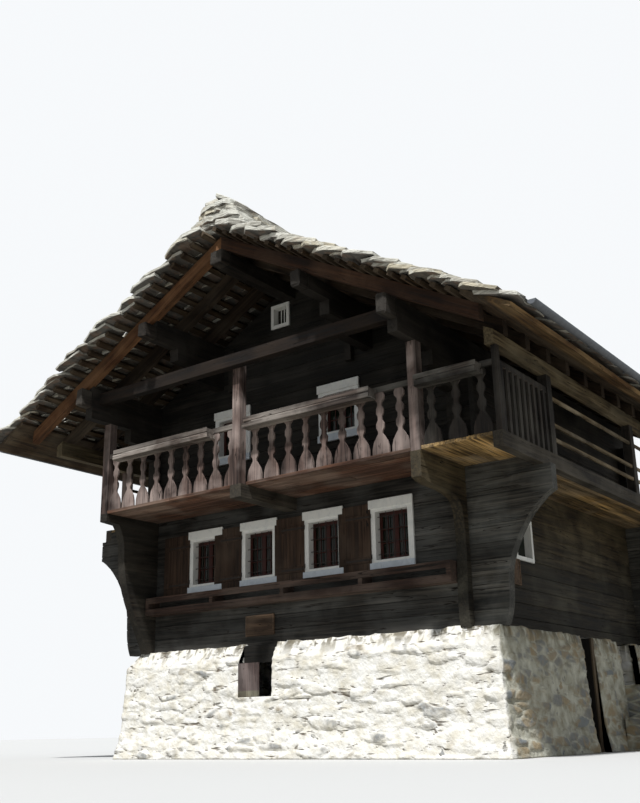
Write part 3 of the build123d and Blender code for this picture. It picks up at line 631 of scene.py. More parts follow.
# %% [markdown]
# ## Lime-washed rubble
# The cellar wall is rubble laid in lime and brushed with lime wash. The wash is thick and nearly
# white, wears off the noses of the stones, and leaves dark holes where the mortar fell out. On
# the right side it is gone, and grey mortar shows between brown and blue stones; there the
# mortar and stones are also painted darker, as painted shade of that side. The skin of
# a wall carries two facts for the finish: how far a point is from a joint, and a tone that all
# points of one stone share. Jambs and steps have no carved skin, so a second version of the
# finish draws its stones with Voronoi cells instead.
# %% Rubble colours
bare_from_x, bare_from_y = (3.42, 3.52), (-2.94, -2.84)


def drawn_stones(tree, place):
    """Nose and tone of stones that are only drawn on a flat face."""
    cells = stretched(tree, place, (2.6, 2.6, 7.0))
    edge = add_node(tree, "TexVoronoi", {"Vector": cells, "Scale": 1.0}, feature="DISTANCE_TO_EDGE")
    stones = add_node(tree, "TexVoronoi", {"Vector": cells, "Scale": 1.0}).outputs["Color"]
    return between(tree, edge.outputs["Distance"], 0.02, 0.14), axis_of(tree, stones, "X")


def bare_shaded_side(tree, place):
    """1 on the right side of the cellar, where the wash is gone and the colours carry painted shade, and
    0 elsewhere.
    """
    right = between(tree, axis_of(tree, place, "X"), *bare_from_x)
    return times(tree, right, between(tree, axis_of(tree, place, "Y"), *bare_from_y))


def bare_stone(tree, place, tone, right):
    """Brown and grey stone, brown and blue on the right, where its patches are darker as painted shade.
    """
    stone = mixed(tree, between(tree, tone, 0.2, 0.55), colour(150, 132, 104), colour(186, 176, 156))
    stone = mixed(tree, between(tree, tone, 0.6, 0.8), stone, colour(134, 138, 140))
    grit = grains(tree, place, 24.0, 6.0)
    stone = mixed(tree, between(tree, grit, 0.4, 0.7), stone, colour(126, 118, 106))
    patch = grains(tree, place, 2.6, 4.0, 0.5)
    patch = mixed(tree, between(tree, patch, 0.46, 0.54), colour(144, 124, 90), colour(98, 107, 116))
    return mixed(tree, times(tree, right, 0.7), stone, patch)


def lime_wash(tree, place, right):
    """Lime wash, and grey mortar in its place on the right, partly darkened as painted shade."""
    cloud = grains(tree, place, 6.0, 6.0, 0.3)
    wash = mixed(tree, between(tree, cloud, 0.3, 0.6), colour(220, 214, 198), colour(242, 240, 234))
    # On the right the grey mortar is partly its own colour and partly painted shade.
    mortar = mixed(tree, between(tree, cloud, 0.3, 0.65), colour(134, 130, 112), colour(192, 191, 176))
    return mixed(tree, times(tree, right, 0.95), wash, mortar)


print("lime wash is", [round(part, 2) for part in colour(242, 240, 234)[:3]], "to the shader")


# %% Rubble finish
def rubble_finish(name, carved=True):
    """Lime wash over rubble stones, mostly gone on the right side, where painted shade darkens the
    mortar and stones.
    """
    material, tree, shader, place = start_finish(name)
    if carved:
        nose, tone = told(tree, "nose"), told(tree, "tone")
    else:
        nose, tone = drawn_stones(tree, place)
    right = bare_shaded_side(tree, place)
    bare = reckon(tree, "ADD", grains(tree, place, 2.2, 7.0, 0.8), times(tree, tone, 0.2))
    bare = reckon(tree, "ADD", bare, times(tree, right, 0.24))
    bare = times(tree, between(tree, bare, 0.65, 0.78), nose, 0.85)
    base = mixed(tree, bare, lime_wash(tree, place, right), bare_stone(tree, place, tone, right))
    drips = grains(tree, stretched(tree, place, (9.0, 9.0, 0.9)), 1.0, 4.0, 0.5)
    under_logs = between(tree, axis_of(tree, place, "Z"), plinth_top - 0.26, plinth_top - 0.02)
    drips = times(tree, between(tree, drips, 0.45, 0.58), under_logs, 0.85)
    base = mixed(tree, drips, base, colour(98, 90, 70))
    slits = grains(tree, stretched(tree, place, (2.4, 2.4, 13.0)), 1.0, 5.0, 0.8)
    joint = between(tree, reckon(tree, "SUBTRACT", 1.0, nose), 0.5, 0.95)
    depth = reckon(tree, "SUBTRACT", 0.9, times(tree, right, 0.6))
    hole = times(tree, between(tree, slits, 0.55, 0.63), joint, depth)
    tree.links.new(mixed(tree, hole, base, colour(92, 76, 56)), shader.inputs["Base Color"])
    shader.inputs["Roughness"].default_value = 0.92
    height = reckon(tree, "SUBTRACT", grains(tree, place, 22.0, 8.0, 0.3), times(tree, hole, 1.5))
    if not carved:
        height = reckon(tree, "ADD", height, nose)
    rough_relief(tree, shader, height, 0.016)
    return material


rubble = rubble_finish("lime washed rubble")
flat_rubble = rubble_finish("rubble of jambs and steps", carved=False)
print("finishes so far:", len(bpy.data.materials))

# %% [markdown]
# ## The shape of the rubble wall
# The wall leans back from a spread foot, so its skin follows that section, from the ledge under
# the logs down to the foot. Each point is pushed out by cell noise: the distance between the
# nearest two cell centres is small in a joint and large on the nose of a stone. Both walls
# at a corner read the same noise at the same points, so they meet without a seam. The noise
# that bends the cells takes its seed from the clock unless it is given one, so it gets one.
# %% Points of the rubble skin
noise.seed_set(7)
ledge_share = 0.05
toe_height, toe_reach, batter = 0.42, 0.075, 0.05
shoulder_drop = 0.24
side_ledges = {-1: 0.25, 1: 0.44}
side_shoulders = {-1: 0.2, 1: 0.03}
front_ledge, front_shoulder = 0.215, 0.13
stone_size = Vector((0.4, 0.4, 0.125))
joint_width = 0.2


def ring_at(share, side):
    """Side, front, rear and height of the plinth's ring, from the logs (0) to its foot (1)."""
    on_ledge = min(1.0, share / ledge_share)
    drop = plinth_top * max(0.0, share - ledge_share) / (1 - ledge_share)
    shoulder_left = max(0.0, 1 - drop / shoulder_drop)
    leaning = plinth_top - toe_height - shoulder_drop
    spread_out = batter * min(1.0, max(0.0, drop - shoulder_drop) / leaning)
    spread_out += toe_reach * max(0.0, drop - plinth_top + toe_height) / toe_height
    side_out = on_ledge * (side_ledges[side] - side_shoulders[side] * shoulder_left) + spread_out
    front_out = on_ledge * (front_ledge - front_shoulder * shoulder_left) + spread_out
    face = side * (wall_side + side_out)
    return face, wall_front - front_out, wall_rear + front_out, plinth_top - drop


def stone_relief(point):
    """How far a point stands on a stone, 0 in a joint and 1 on its nose, and the stone's tone."""
    bend = noise.noise_vector(point * 1.7) * 0.35
    cell = Vector([part / size for part, size in zip(point, stone_size)]) + bend
    spans, centres = noise.voronoi(cell)
    nose = min(1.0, max(0.0, (spans[1] - spans[0]) / joint_width))
    return nose * nose * (3 - 2 * nose), noise.cell(centres[0] * 5.3)


print("foot of the right wall at x =", round(ring_at(1.0, 1)[0], 3))

# %% [markdown]
# ## The skin of one wall
# A sculpted wall would be hard to repeat, and a solid for each stone would be heavy. A fine grid
# is enough, since nobody sees behind a stone: it is laid over the section, cut at the openings
# with bisect planes, pushed out along its face, and its rim is drawn back into the
# plinth, so that no gap shows at an edge.
# %% Steps of a wall
def lay_grid(skin, corner_a, corner_b):
    """A fine grid over the wall's section, between two corners given as (x side, y side)."""
    bmesh.ops.create_grid(skin, x_segments=260, y_segments=80, size=0.5)
    for vert in skin.verts:
        ends = []
        for x_side, y_side in (corner_a, corner_b):
            face, front, rear, height = ring_at(vert.co.y + 0.5, x_side)
            ends.append(Vector((face, front if y_side < 0 else rear, height)))
        vert.co = ends[0].lerp(ends[1], vert.co.x + 0.5)


def cut_opening(skin, axis, low, high, sill, head):
    """Cut an opening out of the grid, given along the wall and in height."""
    for spot, way in ((low, axis), (high, axis), (sill, 2)):
        normal = Vector((0, 0, 0))
        normal[way] = 1
        whole = skin.verts[:] + skin.edges[:] + skin.faces[:]
        bmesh.ops.bisect_plane(skin, geom=whole, plane_co=normal * spot, plane_no=normal, dist=1e-5)
    inside = []
    for face in skin.faces:
        middle = face.calc_center_median()
        if low < middle[axis] < high and sill < middle.z < head + 0.001:
            inside.append(face)
    bmesh.ops.delete(skin, geom=inside, context="FACES")


def push_stones(skin, outward):
    """Push the grid out to stones, and keep each point's nose and tone for the finish."""
    tones = skin.verts.layers.float["tone"]
    noses = skin.verts.layers.float["nose"]
    for vert in skin.verts:
        point = vert.co.copy()
        nose, tone = stone_relief(point)
        vert[noses], vert[tones] = nose, tone
        push = outward.copy()
        if point.z > plinth_top - 0.03:
            push = (outward * 0.3 + Vector((0, 0, 1))).normalized()
        relief = 0.01 + (0.017 + 0.018 * (tone - 0.5)) * nose
        relief += 0.012 * noise.fractal(point * 7, 0.9, 2.0, 4)
        vert.co += push * relief
        vert.co.z = max(vert.co.z, 0.0)


trial = new_piece()
lay_grid(trial, (-1, -1), (1, -1))
print("points on the front wall before it is cut:", len(trial.verts))
trial.free()


# %% Four walls
def rubble_wall(name, corner_a, corner_b, outward, openings):
    """Skin of one plinth wall, with its rim drawn back into the plinth."""
    outward = Vector(outward)
    skin = new_piece()
    skin.verts.layers.float.new("nose")
    lay_grid(skin, corner_a, corner_b)
    for opening in openings:
        cut_opening(skin, 0 if outward.y else 1, *opening)
    push_stones(skin, outward)
    skin.normal_update()
    if sum(face.normal.dot(outward) for face in skin.faces) < 0:
        bmesh.ops.reverse_faces(skin, faces=skin.faces)
    rim = [edge for edge in skin.edges if edge.is_boundary]
    back = bmesh.ops.extrude_edge_only(skin, edges=rim)["geom"]
    back = [item for item in back if isinstance(item, bmesh.types.BMVert)]
    bmesh.ops.translate(skin, verts=back, vec=outward * -0.12)
    for face in skin.faces:
        face.smooth = True
    return finish_piece(name, skin, rubble)


cellar_window = (-0.9, -0.22, 0.895, plinth_top)
slot = (wall_front + 2.55, wall_front + 3.01, -0.01, plinth_top)
raised_doorway = (wall_front + 4.06, wall_front + 4.88, 1.0, plinth_top)
rubble_wall("rubble_front", (-1, -1), (1, -1), (0, -1, 0), [cellar_window])
rubble_wall("rubble_right", (1, -1), (1, 1), (1, 0, 0), [slot, raised_doorway])
rubble_wall("rubble_rear", (1, 1), (-1, 1), (0, 1, 0), [])
rubble_wall("rubble_left", (-1, 1), (-1, -1), (-1, 0, 0), [])

# %% [markdown]
# ## Boards
# Almost every piece that follows is sawn: a plank, a bar or a strap is a box with eased edges.
# A bevel on a cube makes one, and a board is given by where it starts and stops along X, Y
# and Z, because that is how a joiner marks it out on the building.
# %% Boards with eased edges
def eased_box(x, y, z, ease=0.004):
    """A squared timber with its edges eased, given its start and stop on each axis."""
    low, high = (Vector(corner) for corner in zip(x, y, z))
    timber = bmesh.new()
    bmesh.ops.create_cube(timber, size=1.0)
    bmesh.ops.scale(timber, vec=high - low, verts=timber.verts)
    bmesh.ops.translate(timber, vec=(low + high) / 2, verts=timber.verts)
    bmesh.ops.bevel(
        timber, geom=timber.edges[:], offset=ease, offset_type="OFFSET", affect="EDGES",
        segments=1, profile=0.5, material=-1,
    )
    return timber


def board(piece, x, y, z, ease=0.004, tone=0.5, place=None):
    """Join a board to a piece."""
    join(piece, eased_box(x, y, z, ease), tone, place)


def around(middle, width):
    """Start and stop of a width about its middle."""
    return middle - width / 2, middle + width / 2


print("a bar of 16 mm at 1 m runs from and to", around(1.0, 0.016))

# %% [markdown]
# ## Floor planks
# Decks are sawn planks with open joints that let rain through. Each one lies a few millimetres
# off its neighbours and has a tone of its own, and every row is butted at another place.
# The planks fill the space of the CAD deck and stand for it.
# %% Planks
def lay_planks(piece, low, high, along, width, chance, gap=0.006):
    """Fill a box with planks along one axis, joints staggered."""
    across = 1 - along
    count = max(1, round((high[across] - low[across]) / width))
    step = (high[across] - low[across]) / count
    for row in range(count):
        start = low[along]
        cut = low[along] + chance.uniform(0.25, 0.75) * (high[along] - low[along])
        for stop in (cut, high[along]):
            first = start + (gap / 2 if start > low[along] else 0)
            last = stop - (gap / 2 if stop < high[along] else 0)
            left = low[across] + row * step
            shift = chance.uniform(-0.004, 0.004)
            spans = {along: (first, last), across: (left + gap / 2, left + step - gap / 2)}
            board(piece, spans[0], spans[1], (low.z + shift, high.z + shift), tone=chance.random())
            start = stop


def lay_decks():
    """Planks of the front deck along X and of the side decks along Y."""
    chance = random.Random(31)
    left, front, right = solids_of("balcony_deck")
    long_deck = new_piece()
    lay_planks(long_deck, *front, 0, 0.2, chance)
    finish_piece("front_deck_planks", long_deck, deck_wood_x, ["balcony_deck"])
    side_deck = new_piece()
    for deck in (left, right):
        lay_planks(side_deck, *deck, 1, 0.18, chance)
    finish_piece("side_deck_planks", side_deck, deck_wood_y)


lay_decks()

# %% [markdown]
# ## Paint and varnish
# Casings have thick white paint that cracks along the grain and greys at the sill, where it is
# renewed more often and is bluer. Sashes are varnished red brown and shine little, and the
# sash in the gable has weathered grey. One finish makes all of them: a paint, and what shows
# where brush marks and dirt have thinned it.
# %% Paint and varnish
def painted_finish(name, paint, under, gloss, gable=None, shine=0.5):
    """Brushed paint, thin at the edges of its brush marks, of another colour in the gable."""
    material, tree, shader, place = start_finish(name)
    marks = grains(tree, stretched(tree, place, (13, 13, 6)), 1.0, 6.0, 1.2)
    dirt = between(tree, grains(tree, place, 7.0, 6.0, 0.5), 0.5, 0.75)
    base = mixed(tree, between(tree, marks, 0.55, 1.0), paint, under)
    base = mixed(tree, times(tree, dirt, 0.5), base, under)
    if gable:
        level = axis_of(tree, place, "Z")
        base = mixed(tree, between(tree, level, gable_storey - 0.1, gable_storey), base, gable)
    tree.links.new(base, shader.inputs["Base Color"])
    shader.inputs["Roughness"].default_value = gloss
    shader.inputs["Specular IOR Level"].default_value = shine
    rough_relief(tree, shader, marks, 0.002)
    return material


white_paint = painted_finish("white casing paint", colour(240, 240, 236), colour(204, 208, 208), 0.55)
blue_paint = painted_finish("blue white sill paint", colour(214, 222, 230), colour(172, 182, 192), 0.55)
red_varnish = painted_finish(
    "red brown sash varnish", colour(64, 32, 26), colour(42, 22, 19), 0.5,
    gable=colour(46, 42, 38), shine=0.2,
)
print("paints:", white_paint.name, "/", blue_paint.name, "/", red_varnish.name)

# %% [markdown]
# ## Old glass
# Blown glass is thin and slightly wavy, and the room behind it is dark. Clear glass would let
# too much of the pale surroundings through, so most of the pane is a near black with a gloss, and
# only part of the light passes.
# %% Glass
light_passed = 0.4


def glass_finish():
    """Thin old window glass, slightly uneven."""
    material, tree, shader, place = start_finish("old window glass")
    dust_and_shade = grains(tree, place, 9.0, 5.0, 0.4)
    base = mixed(tree, dust_and_shade, (0.006, 0.009, 0.006, 1), (0.022, 0.03, 0.018, 1))
    tree.links.new(base, shader.inputs["Base Color"])
    settings = {
        "Transmission Weight": light_passed, "Roughness": 0.06, "IOR": 1.33,
        "Specular IOR Level": 0.2,
    }
    for socket, value in settings.items():
        shader.inputs[socket].default_value = value
    rough_relief(tree, shader, grains(tree, place, 5.0, 2.0), 0.0015)
    return material


glass = glass_finish()
print("share of the light that passes the glass:", light_passed)

# %% [markdown]
# ## Zinc and iron
# Both metals are dull out of doors: zinc grows a grey skin and forged iron a brown one. So they
# are only half metallic, mottled, and rougher in some spots than in others.
# %% Metals
def metal_finish(name, bright, dull, roughness):
    """Dull metal with a mottled skin."""
    material, tree, shader, place = start_finish(name)
    mottle = grains(tree, place, 14.0, 6.0, 0.4)
    tree.links.new(mixed(tree, mottle, bright, dull), shader.inputs["Base Color"])
    shader.inputs["Metallic"].default_value = 0.5
    rough = spread(tree, mottle, roughness, roughness + 0.2)
    tree.links.new(rough, shader.inputs["Roughness"])
    rough_relief(tree, shader, mottle, 0.002)
    return material


zinc = metal_finish("zinc gutter", colour(122, 126, 132), colour(86, 90, 96), 0.55)
iron = metal_finish("forged iron", colour(60, 54, 50), colour(40, 34, 30), 0.6)
print("metals:", zinc.name, "and", iron.name)

# %% [markdown]
# ## Drip plates
# Between the last slabs and the gutter, water would blow back onto the timber. A strip of
# folded zinc leads it across. It is a board 5 mm thin, laid in the frame of the slope so
# that it needs no angles of its own.
# %% Drip plates
plate_cover, plate_lip, plate_sheet = 0.3, 0.024, 0.005


def drip_plates():
    """A zinc strip under the last slabs that leads the water into each gutter."""
    plates = new_piece()
    rise = stone_bed + stone_at_eave - 0.013
    for side in (-1, 1):
        board(
            plates, (eave_run - plate_cover, eave_run + plate_lip),
            (roof_low.y + 0.12, roof_high.y - 0.12), (rise, rise + plate_sheet),
            0.001, place=slope_frame(side),
        )
    return finish_piece("drip_plates", plates, zinc)


drip_plates()

# %% [markdown]
# ## Window bars
# Each leaf of a front window is divided by one upright and two level glazing bars. They sit just
# in front of the pane, and their places come from the panes of the CAD model. The small window
# in the gable has no glazing bars but three white uprights nailed over its sash, so those take
# their places from the sash.
# %% Window bars
def front_solids(node, below=gable_storey):
    """Solids of a node that lie in the front wall, up to a height."""
    boxes = solids_of(node)
    front = [(low, high) for low, high in boxes if high.x - low.x > high.y - low.y]
    return [(low, high) for low, high in front if low.z < below]


def part_way(start, stop, share):
    """A place part of the way from start to stop."""
    return start + (stop - start) * share


def glazing_bars():
    """Thin bars over every front pane and upright white ones in the gable."""
    bars = new_piece()
    width, depth = 0.016, 0.012
    for low, high in front_solids("window_panes"):
        face = (low.y - depth, low.y)
        board(bars, around(part_way(low.x, high.x, 0.5), width), face, (low.z, high.z), 0.003)
        for share in (1 / 3, 2 / 3):
            level = around(part_way(low.z, high.z, share), width)
            board(bars, (low.x, high.x), face, level, 0.003)
    finish_piece("glazing_bars", bars, red_varnish)
    gable_bars = new_piece()
    low, high = [box for box in solids_of("window_sashes") if box[0].z > gable_storey][0]
    for share in (0.28, 0.52, 0.76):
        middle = part_way(low.x, high.x, share)
        face = (low.y - 0.014, low.y - 0.002)
        board(gable_bars, around(middle, 0.018), face, (low.z, high.z), 0.003)
    finish_piece("gable_window_bars", gable_bars, white_paint)


glazing_bars()

# %% [markdown]
# ## Head boards, sills and sash irons
# Rain runs off a board nailed over the foot of each casing, and a longer one closes its head.
# Both stand a little proud, and that small step draws the line that the eye sees first. Thin
# iron angles hold the corners of the sashes: two strips that start at the same corner.
# %% Head boards, sills and sash irons
def window_trim():
    """A head board and a sill board on every front casing."""
    chance = random.Random(61)
    sills = new_piece()
    heads = new_piece()
    for low, high in front_solids("window_casings"):
        across = (low.x - 0.012, high.x + 0.012)
        face = (low.y - 0.028, low.y + 0.002)
        board(sills, across, face, (low.z - 0.008, low.z + 0.11), 0.005, chance.random())
        across = (low.x - 0.018, high.x + 0.012)
        face = (low.y - 0.02, low.y + 0.002)
        board(heads, across, face, (high.z - 0.13, high.z + 0.006), 0.004, chance.random())
    finish_piece("window_sills", sills, blue_paint)
    finish_piece("window_head_boards", heads, white_paint)


def sash_irons():
    """Iron angles on the four corners of every front sash."""
    irons = new_piece()
    inset, arm, strip = 0.02, 0.09, 0.014
    for low, high in front_solids("window_sashes"):
        face = (low.y - 0.003, low.y + 0.001)
        sides = ((low.x, 1), (high.x, -1))
        ends = ((low.z, 1), (high.z, -1))
        for (x, way), (z, rise), (run, drop) in product(sides, ends, ((arm, strip), (strip, arm))):
            across = sorted((x + way * inset, x + way * (inset + run)))
            upright = sorted((z + rise * inset, z + rise * (inset + drop)))
            board(irons, across, face, upright, 0.001)
    finish_piece("sash_irons", irons, iron)


window_trim()
sash_irons()

# %% [markdown]
# ## Grilles and pintles
# The lower windows have iron bars let into their casings, three upright and four level ones
# that pass in front of them. Each shutter hangs on two pintles at the edge of a casing. All
# of it is thin and dark, so plain bars with eased edges are enough.
# %% Grilles and pintles
def window_grilles():
    """Thin iron bars over the lower windows, and the shutters' pintles."""
    bars = new_piece()
    half = 0.006
    for low, high in front_solids("window_sashes", upper_storey):
        face = low.y - 0.045
        for share in (0.25, 0.5, 0.75):
            across = around(part_way(low.x, high.x, share), 2 * half)
            board(bars, across, around(face, 2 * half), (low.z - half, high.z + half), 0.002)
        for share in (0.12, 0.38, 0.64, 0.9):
            level = around(part_way(low.z, high.z, share), 0.01)
            board(bars, (low.x - half, high.x + half), (face - 0.016, face - half), level, 0.002)
    for low, high in front_solids("window_casings", upper_storey):
        for share in (0.2, 0.78):
            level = around(part_way(low.z, high.z, share), 0.07)
            board(bars, (low.x - 0.004, low.x + 0.02), (low.y - 0.018, low.y + 0.004), level, 0.004)
    return finish_piece("window_grilles", bars, iron)


window_grilles()

# %% [markdown]
# ## Shutters
# A shutter is four upright planks held by two battens across them, and strap hinges run over
# the battens to a pintle at the casing. The planks lie in the back of the CAD shutter's space
# and the battens in its front, so the leaf keeps its thickness.
# %% Shutters
def upright_planks(piece, low, high, count, chance):
    """Upright planks side by side along X."""
    step = (high.x - low.x) / count
    for row in range(count):
        across = (low.x + row * step + 0.001, low.x + (row + 1) * step - 0.001)
        face = (low.y + chance.uniform(0, 0.002), high.y)
        board(piece, across, face, (low.z, high.z), 0.0015, chance.random())


def make_shutters():
    """Planked shutters with battens and strap hinges."""
    chance = random.Random(41)
    leaves = new_piece()
    straps = new_piece()
    for low, high in solids_of("shutters"):
        upright_planks(leaves, low + Vector((0, 0.012, 0)), high, 4, chance)
        for share in (0.16, 0.8):
            level = part_way(low.z, high.z, share)
            across = (low.x + 0.03, high.x - 0.03)
            board(leaves, across, (low.y, low.y + 0.02), around(level, 0.09), tone=chance.random())
            across = (low.x + 0.15, high.x + 0.01)
            board(straps, across, (low.y - 0.004, low.y + 0.001), around(level, 0.028), 0.001)
    finish_piece("shutter_leaves", leaves, shutter_wood, ["shutters"])
    finish_piece("shutter_straps", straps, iron)


make_shutters()

# %% [markdown]
# ## Ends of the purlins
# The purlins stand out a hand's breadth beyond the first rafters. Nothing covers their ends, so
# they have split and rotted round. Each is a box whose free end is pulled out of square. Its
# top follows the slope of the roof, which gives its height from its distance to the ridge.
# %% Purlin heads
head_depths = {"ridge_purlin": 0.23, "middle_purlins": 0.24, "wall_plates": 0.3}
front_head, rear_head = 0.24, 0.1


def purlin_heads():
    """Weathered heads on the front and rear ends of purlins and wall plates."""
    chance = random.Random(51)
    heads = new_piece()
    timbers = [(box, depth) for node, depth in head_depths.items() for box in solids_of(node)]
    for (low, high), depth in timbers:
        top = ridge_height - max(abs(low.x), abs(high.x)) * tan(roof_pitch) - 0.004
        for start, way, reach in ((low.y, -1, front_head), (high.y, 1, rear_head)):
            end = start + way * reach * chance.uniform(0.8, 1.2)
            across = (low.x + 0.006, high.x - 0.006)
            head = eased_box(across, sorted((start, end)), (top - depth, top), 0.018)
            for vert in head.verts:
                if abs(vert.co.y - end) < 0.03:
                    vert.co += Vector([chance.uniform(-0.014, 0.014) for axis in range(3)])
            join(heads, head, chance.random())
    return finish_piece("purlin_heads", heads, beams_y)


purlin_heads()

# %% [markdown]
# ## Flower boxes
# The boxes that hang on the rail are nailed from thin boards with a gap between them, so they
# are open to the light. Here each is laid up in the space of its CAD box: two boards high
# at the front and at the back, two in the floor, and a short one inside each end.
# %% Flower boxes
board_thick = 0.018


def plank_boxes():
    """Thin weathered boards that form the three boxes."""
    chance = random.Random(71)
    boards = new_piece()
    for low, high in solids_of("flower_boxes"):
        rise = (high.z - low.z) / 2
        for face in (low.y, high.y - 0.02):
            for row in range(2):
                foot = low.z + row * rise + 0.008 + chance.uniform(-0.004, 0.004)
                across = (low.x + chance.uniform(0, 0.03), high.x - chance.uniform(0, 0.03))
                depth, height = (face, face + board_thick), (foot, foot + rise - 0.016)
                board(boards, across, depth, height, 0.003, chance.random())
        for row in range(2):
            start = low.y + 0.022 + row * 0.08
            across, depth = (low.x + 0.002, high.x - 0.002), (start, start + 0.072)
            board(boards, across, depth, (low.z, low.z + board_thick), 0.003, chance.random())
        for face in (low.x + 0.03, high.x - 0.05):
            depth, height = (low.y + board_thick, high.y - 0.02), (low.z + 0.01, high.z - 0.01)
            board(boards, (face, face + 0.02), depth, height, 0.003, chance.random())
    return finish_piece("flower_box_boards", boards, rail_wood_x, ["flower_boxes"])


plank_boxes()

# %% [markdown]
# ## Frames of the two boards
# A bare board hangs on the front wall and one on the right wall, each with a thin planed
# moulding. One hangs across X and the other across Y, so the bars are first laid out in the
# board's own directions and then turned into X and Y.
# %% Frames of the two boards on the walls
moulding, proud = 0.022, 0.008


def plaque_frames():
    """A thin planed moulding round each board."""
    frames = new_piece()
    for low, high in solids_of("plaques"):
        flat = 1 if high.y - low.y < high.x - low.x else 0
        along = 1 - flat
        face = (low.y - proud, low.y) if flat == 1 else (high.x, high.x + proud)
        start, stop = low[along], high[along]
        bars = [(pair, (low.z, high.z)) for pair in ((start, start + moulding), (stop - moulding, stop))]
        for foot in (low.z, high.z - moulding):
            bars.append(((start + moulding, stop - moulding), (foot, foot + moulding)))
        for span, height in bars:
            spans = {flat: face, along: span}
            board(frames, spans[0], spans[1], height, 0.002)
    return finish_piece("plaque_frames", frames, plaque_wood)


plaque_frames()

# %% [markdown]
# ## The plank over the cellar window
# The cellar window reaches up to the logs, and a black plank closes it above its leaning board.
# It is one board between the jambs, and its foot is read from the CAD board below it.
# %% Plank over the cellar window
def lintel_plank():
    """A black plank that closes the cellar window above its board."""
    left, right = cellar_window[:2]
    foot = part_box("cellar_window_board")[1].z
    plank = new_piece()
    face = (wall_front - 0.1, wall_front - 0.045)
    board(plank, (left + 0.004, right - 0.004), face, (foot + 0.002, plinth_top - 0.002))
    return finish_piece("lintel_plank", plank, logs_x)


lintel_plank()

# %% [markdown]
# ## Finishes for the CAD timbers
# The rest of the house keeps its CAD shape and only gets its finish. A list of which finish
# goes on which nodes is easier to read and to change than a line for each node.
# %% Assign finishes
finishes = {
    logs_low: ("front_wall_lower", "rear_wall_lower"),
    logs_x: ("front_wall_upper", "rear_wall_upper", "front_gable", "rear_gable"),
    logs_y: ("left_wall_lower", "left_wall_upper", "right_wall_upper"),
    logs_side: ("right_wall_lower",),
    beams_y: ("ridge_purlin", "middle_purlins", "wall_plates", "gable_clamps"),
    eave_plate_wood: ("eave_plates",),
    beams_x: ("tie_beam",),
    rafter_wood_right: ("rafters_right",),
    rafter_wood_left: ("rafters_left",),
    batten_wood: ("roof_battens_left", "roof_battens_right"),
    upright_wood: ("balcony_posts", "balcony_balusters", "slatted_panel"),
    post_wood: ("cellar_window_board",),
    slot_post_wood: ("cellar_door_post",),
    rail_wood_x: ("balcony_handrail",),
    rail_wood_y: ("drying_laths",),
    beam_wood_y: ("balcony_beams",),
    deck_wood_x: ("timber_floors",),
    shelf_wood: ("flower_shelf",),
    plaque_wood: ("plaques",),
    flat_rubble: ("plinth_front", "plinth_rear", "plinth_left", "plinth_right", "cellar_landing"),
    white_paint: ("window_casings",),
    red_varnish: ("window_sashes",),
    glass: ("window_panes",),
    zinc: ("gutters",),
}
for finish, nodes in finishes.items():
    for node in nodes:
        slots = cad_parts[node].data.materials
        slots.clear()
        slots.append(finish)
print("finished nodes:", sum(len(nodes) for nodes in finishes.values()))

# %% [markdown]
# ## Floor
# A pale floor runs out of sight and meets the pale sky. To the camera it is pale, but the light
# that it throws back up into the eaves is weaker and warmer, because a white floor would light
# the balcony from below.
# %% Floor
def pale_floor():
    """A wide floor that runs out of sight."""
    sheet = bmesh.new()
    bmesh.ops.create_grid(sheet, x_segments=1, y_segments=1, size=150)
    mesh = bpy.data.meshes.new("floor")
    sheet.to_mesh(mesh)
    sheet.free()
    material, tree, shader, place = start_finish("pale floor")
    shown = add_node(tree, "LightPath", {}).outputs["Is Camera Ray"]
    thrown_back, seen = (0.3, 0.29, 0.26, 1), (0.56, 0.56, 0.55, 1)
    base = mixed(tree, shown, thrown_back, seen)
    tree.links.new(base, shader.inputs["Base Color"])
    shader.inputs["Roughness"].default_value = 0.95
    mesh.materials.append(material)
    made = bpy.data.objects.new("floor", mesh)
    bpy.context.scene.collection.objects.link(made)
    print("floor measures", [round(size) for size in made.dimensions[:2]])


pale_floor()

# %% [markdown]
# ## Light
# One soft lamp stands for a high sun at the front right, and an even sky fills the shade. The
# sun throws the shadow of the eaves over the logs, which is most of what gives the house its
# look. The sky that the camera, gloss and glass see is paler than the one that lights.
# %% Light
sun_strength, sun_softness = 4.4, radians(3)
sun_from = Vector((0.23, -0.53, 1.0))
sky_light, sky_strength = (0.86, 0.93, 1.0, 1), 0.35
sky_seen = (0.93, 0.95, 0.97, 1)


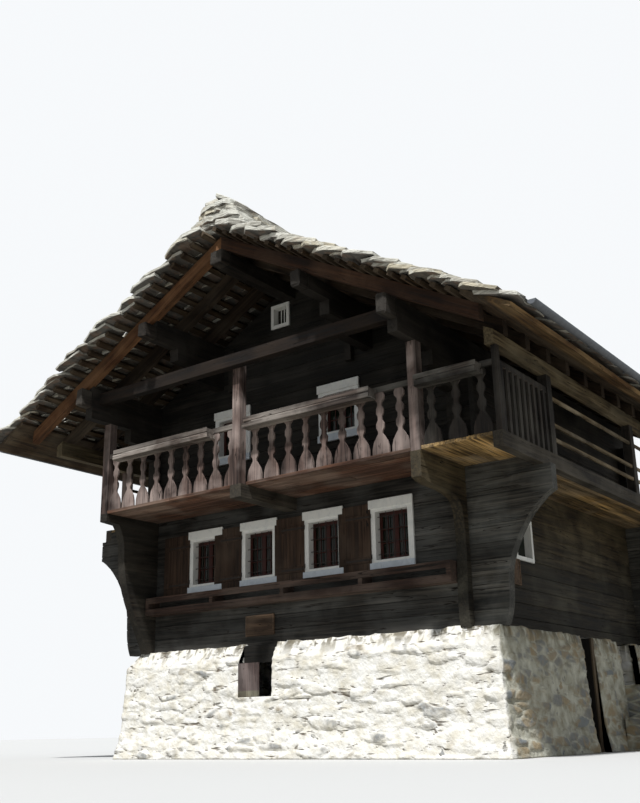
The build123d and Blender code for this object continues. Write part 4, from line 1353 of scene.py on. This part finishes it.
def light_scene():
    """One soft sun and an even sky."""
    sun = bpy.data.lights.new("soft sun", "SUN")
    sun.energy = sun_strength
    sun.angle = sun_softness
    lamp = bpy.data.objects.new("soft sun", sun)
    lamp.rotation_mode = "QUATERNION"
    lamp.rotation_quaternion = sun_from.to_track_quat("Z", "Y")
    bpy.context.scene.collection.objects.link(lamp)
    world = bpy.data.worlds.new("pale sky")
    bpy.context.scene.world = world
    world.use_nodes = True
    tree = world.node_tree
    sky = tree.nodes["Background"]
    sky.inputs["Color"].default_value = sky_light
    sky.inputs["Strength"].default_value = sky_strength
    shown = add_node(tree, "Background", {"Color": sky_seen, "Strength": 1.0})
    rays = add_node(tree, "LightPath", {})
    seen = reckon(tree, "MAXIMUM", rays.outputs["Is Camera Ray"], rays.outputs["Is Glossy Ray"])
    seen = reckon(tree, "MAXIMUM", seen, rays.outputs["Is Transmission Ray"])
    both = add_node(tree, "MixShader", {0: seen, 1: sky.outputs[0], 2: shown.outputs[0]})
    tree.links.new(both.outputs[0], tree.nodes["World Output"].inputs["Surface"])


light_scene()
print("sun", sun_strength, "and sky", sky_strength)

# %% [markdown]
# ## Camera
# The camera stands low and close, as it does in the photograph, so the upright edges lean in and
# the underside of the balcony shows. Its place, its turn and its lens were found from the lines
# of the logs and posts. The turn is built from three directions, which is safer than angles.
# %% Camera
camera_place = (9.756, -15.046, 0.373)
camera_turn, camera_tilt, camera_roll = radians(36.524), radians(18.287), radians(-1.097)


def place_camera():
    """Camera at the photograph's place, turned up and a little rolled."""
    lens = bpy.data.cameras.new("camera")
    lens.sensor_width = 36.0
    lens.lens = 44.8
    lens.clip_end = 400
    level = Vector((cos(camera_turn), sin(camera_turn), 0))
    ahead = Vector((-sin(camera_turn), cos(camera_turn), 0)) * cos(camera_tilt)
    ahead.z = sin(camera_tilt)
    above = level.cross(ahead)
    right = cos(camera_roll) * level + sin(camera_roll) * above
    up = -sin(camera_roll) * level + cos(camera_roll) * above
    made = bpy.data.objects.new("camera", lens)
    axes = Matrix((right, up, -ahead)).transposed().to_4x4()
    made.matrix_world = Matrix.Translation(camera_place) @ axes
    bpy.context.scene.collection.objects.link(made)
    bpy.context.scene.camera = made


place_camera()
bpy.context.scene.view_settings.view_transform = "Standard"
print("camera stands at", camera_place)
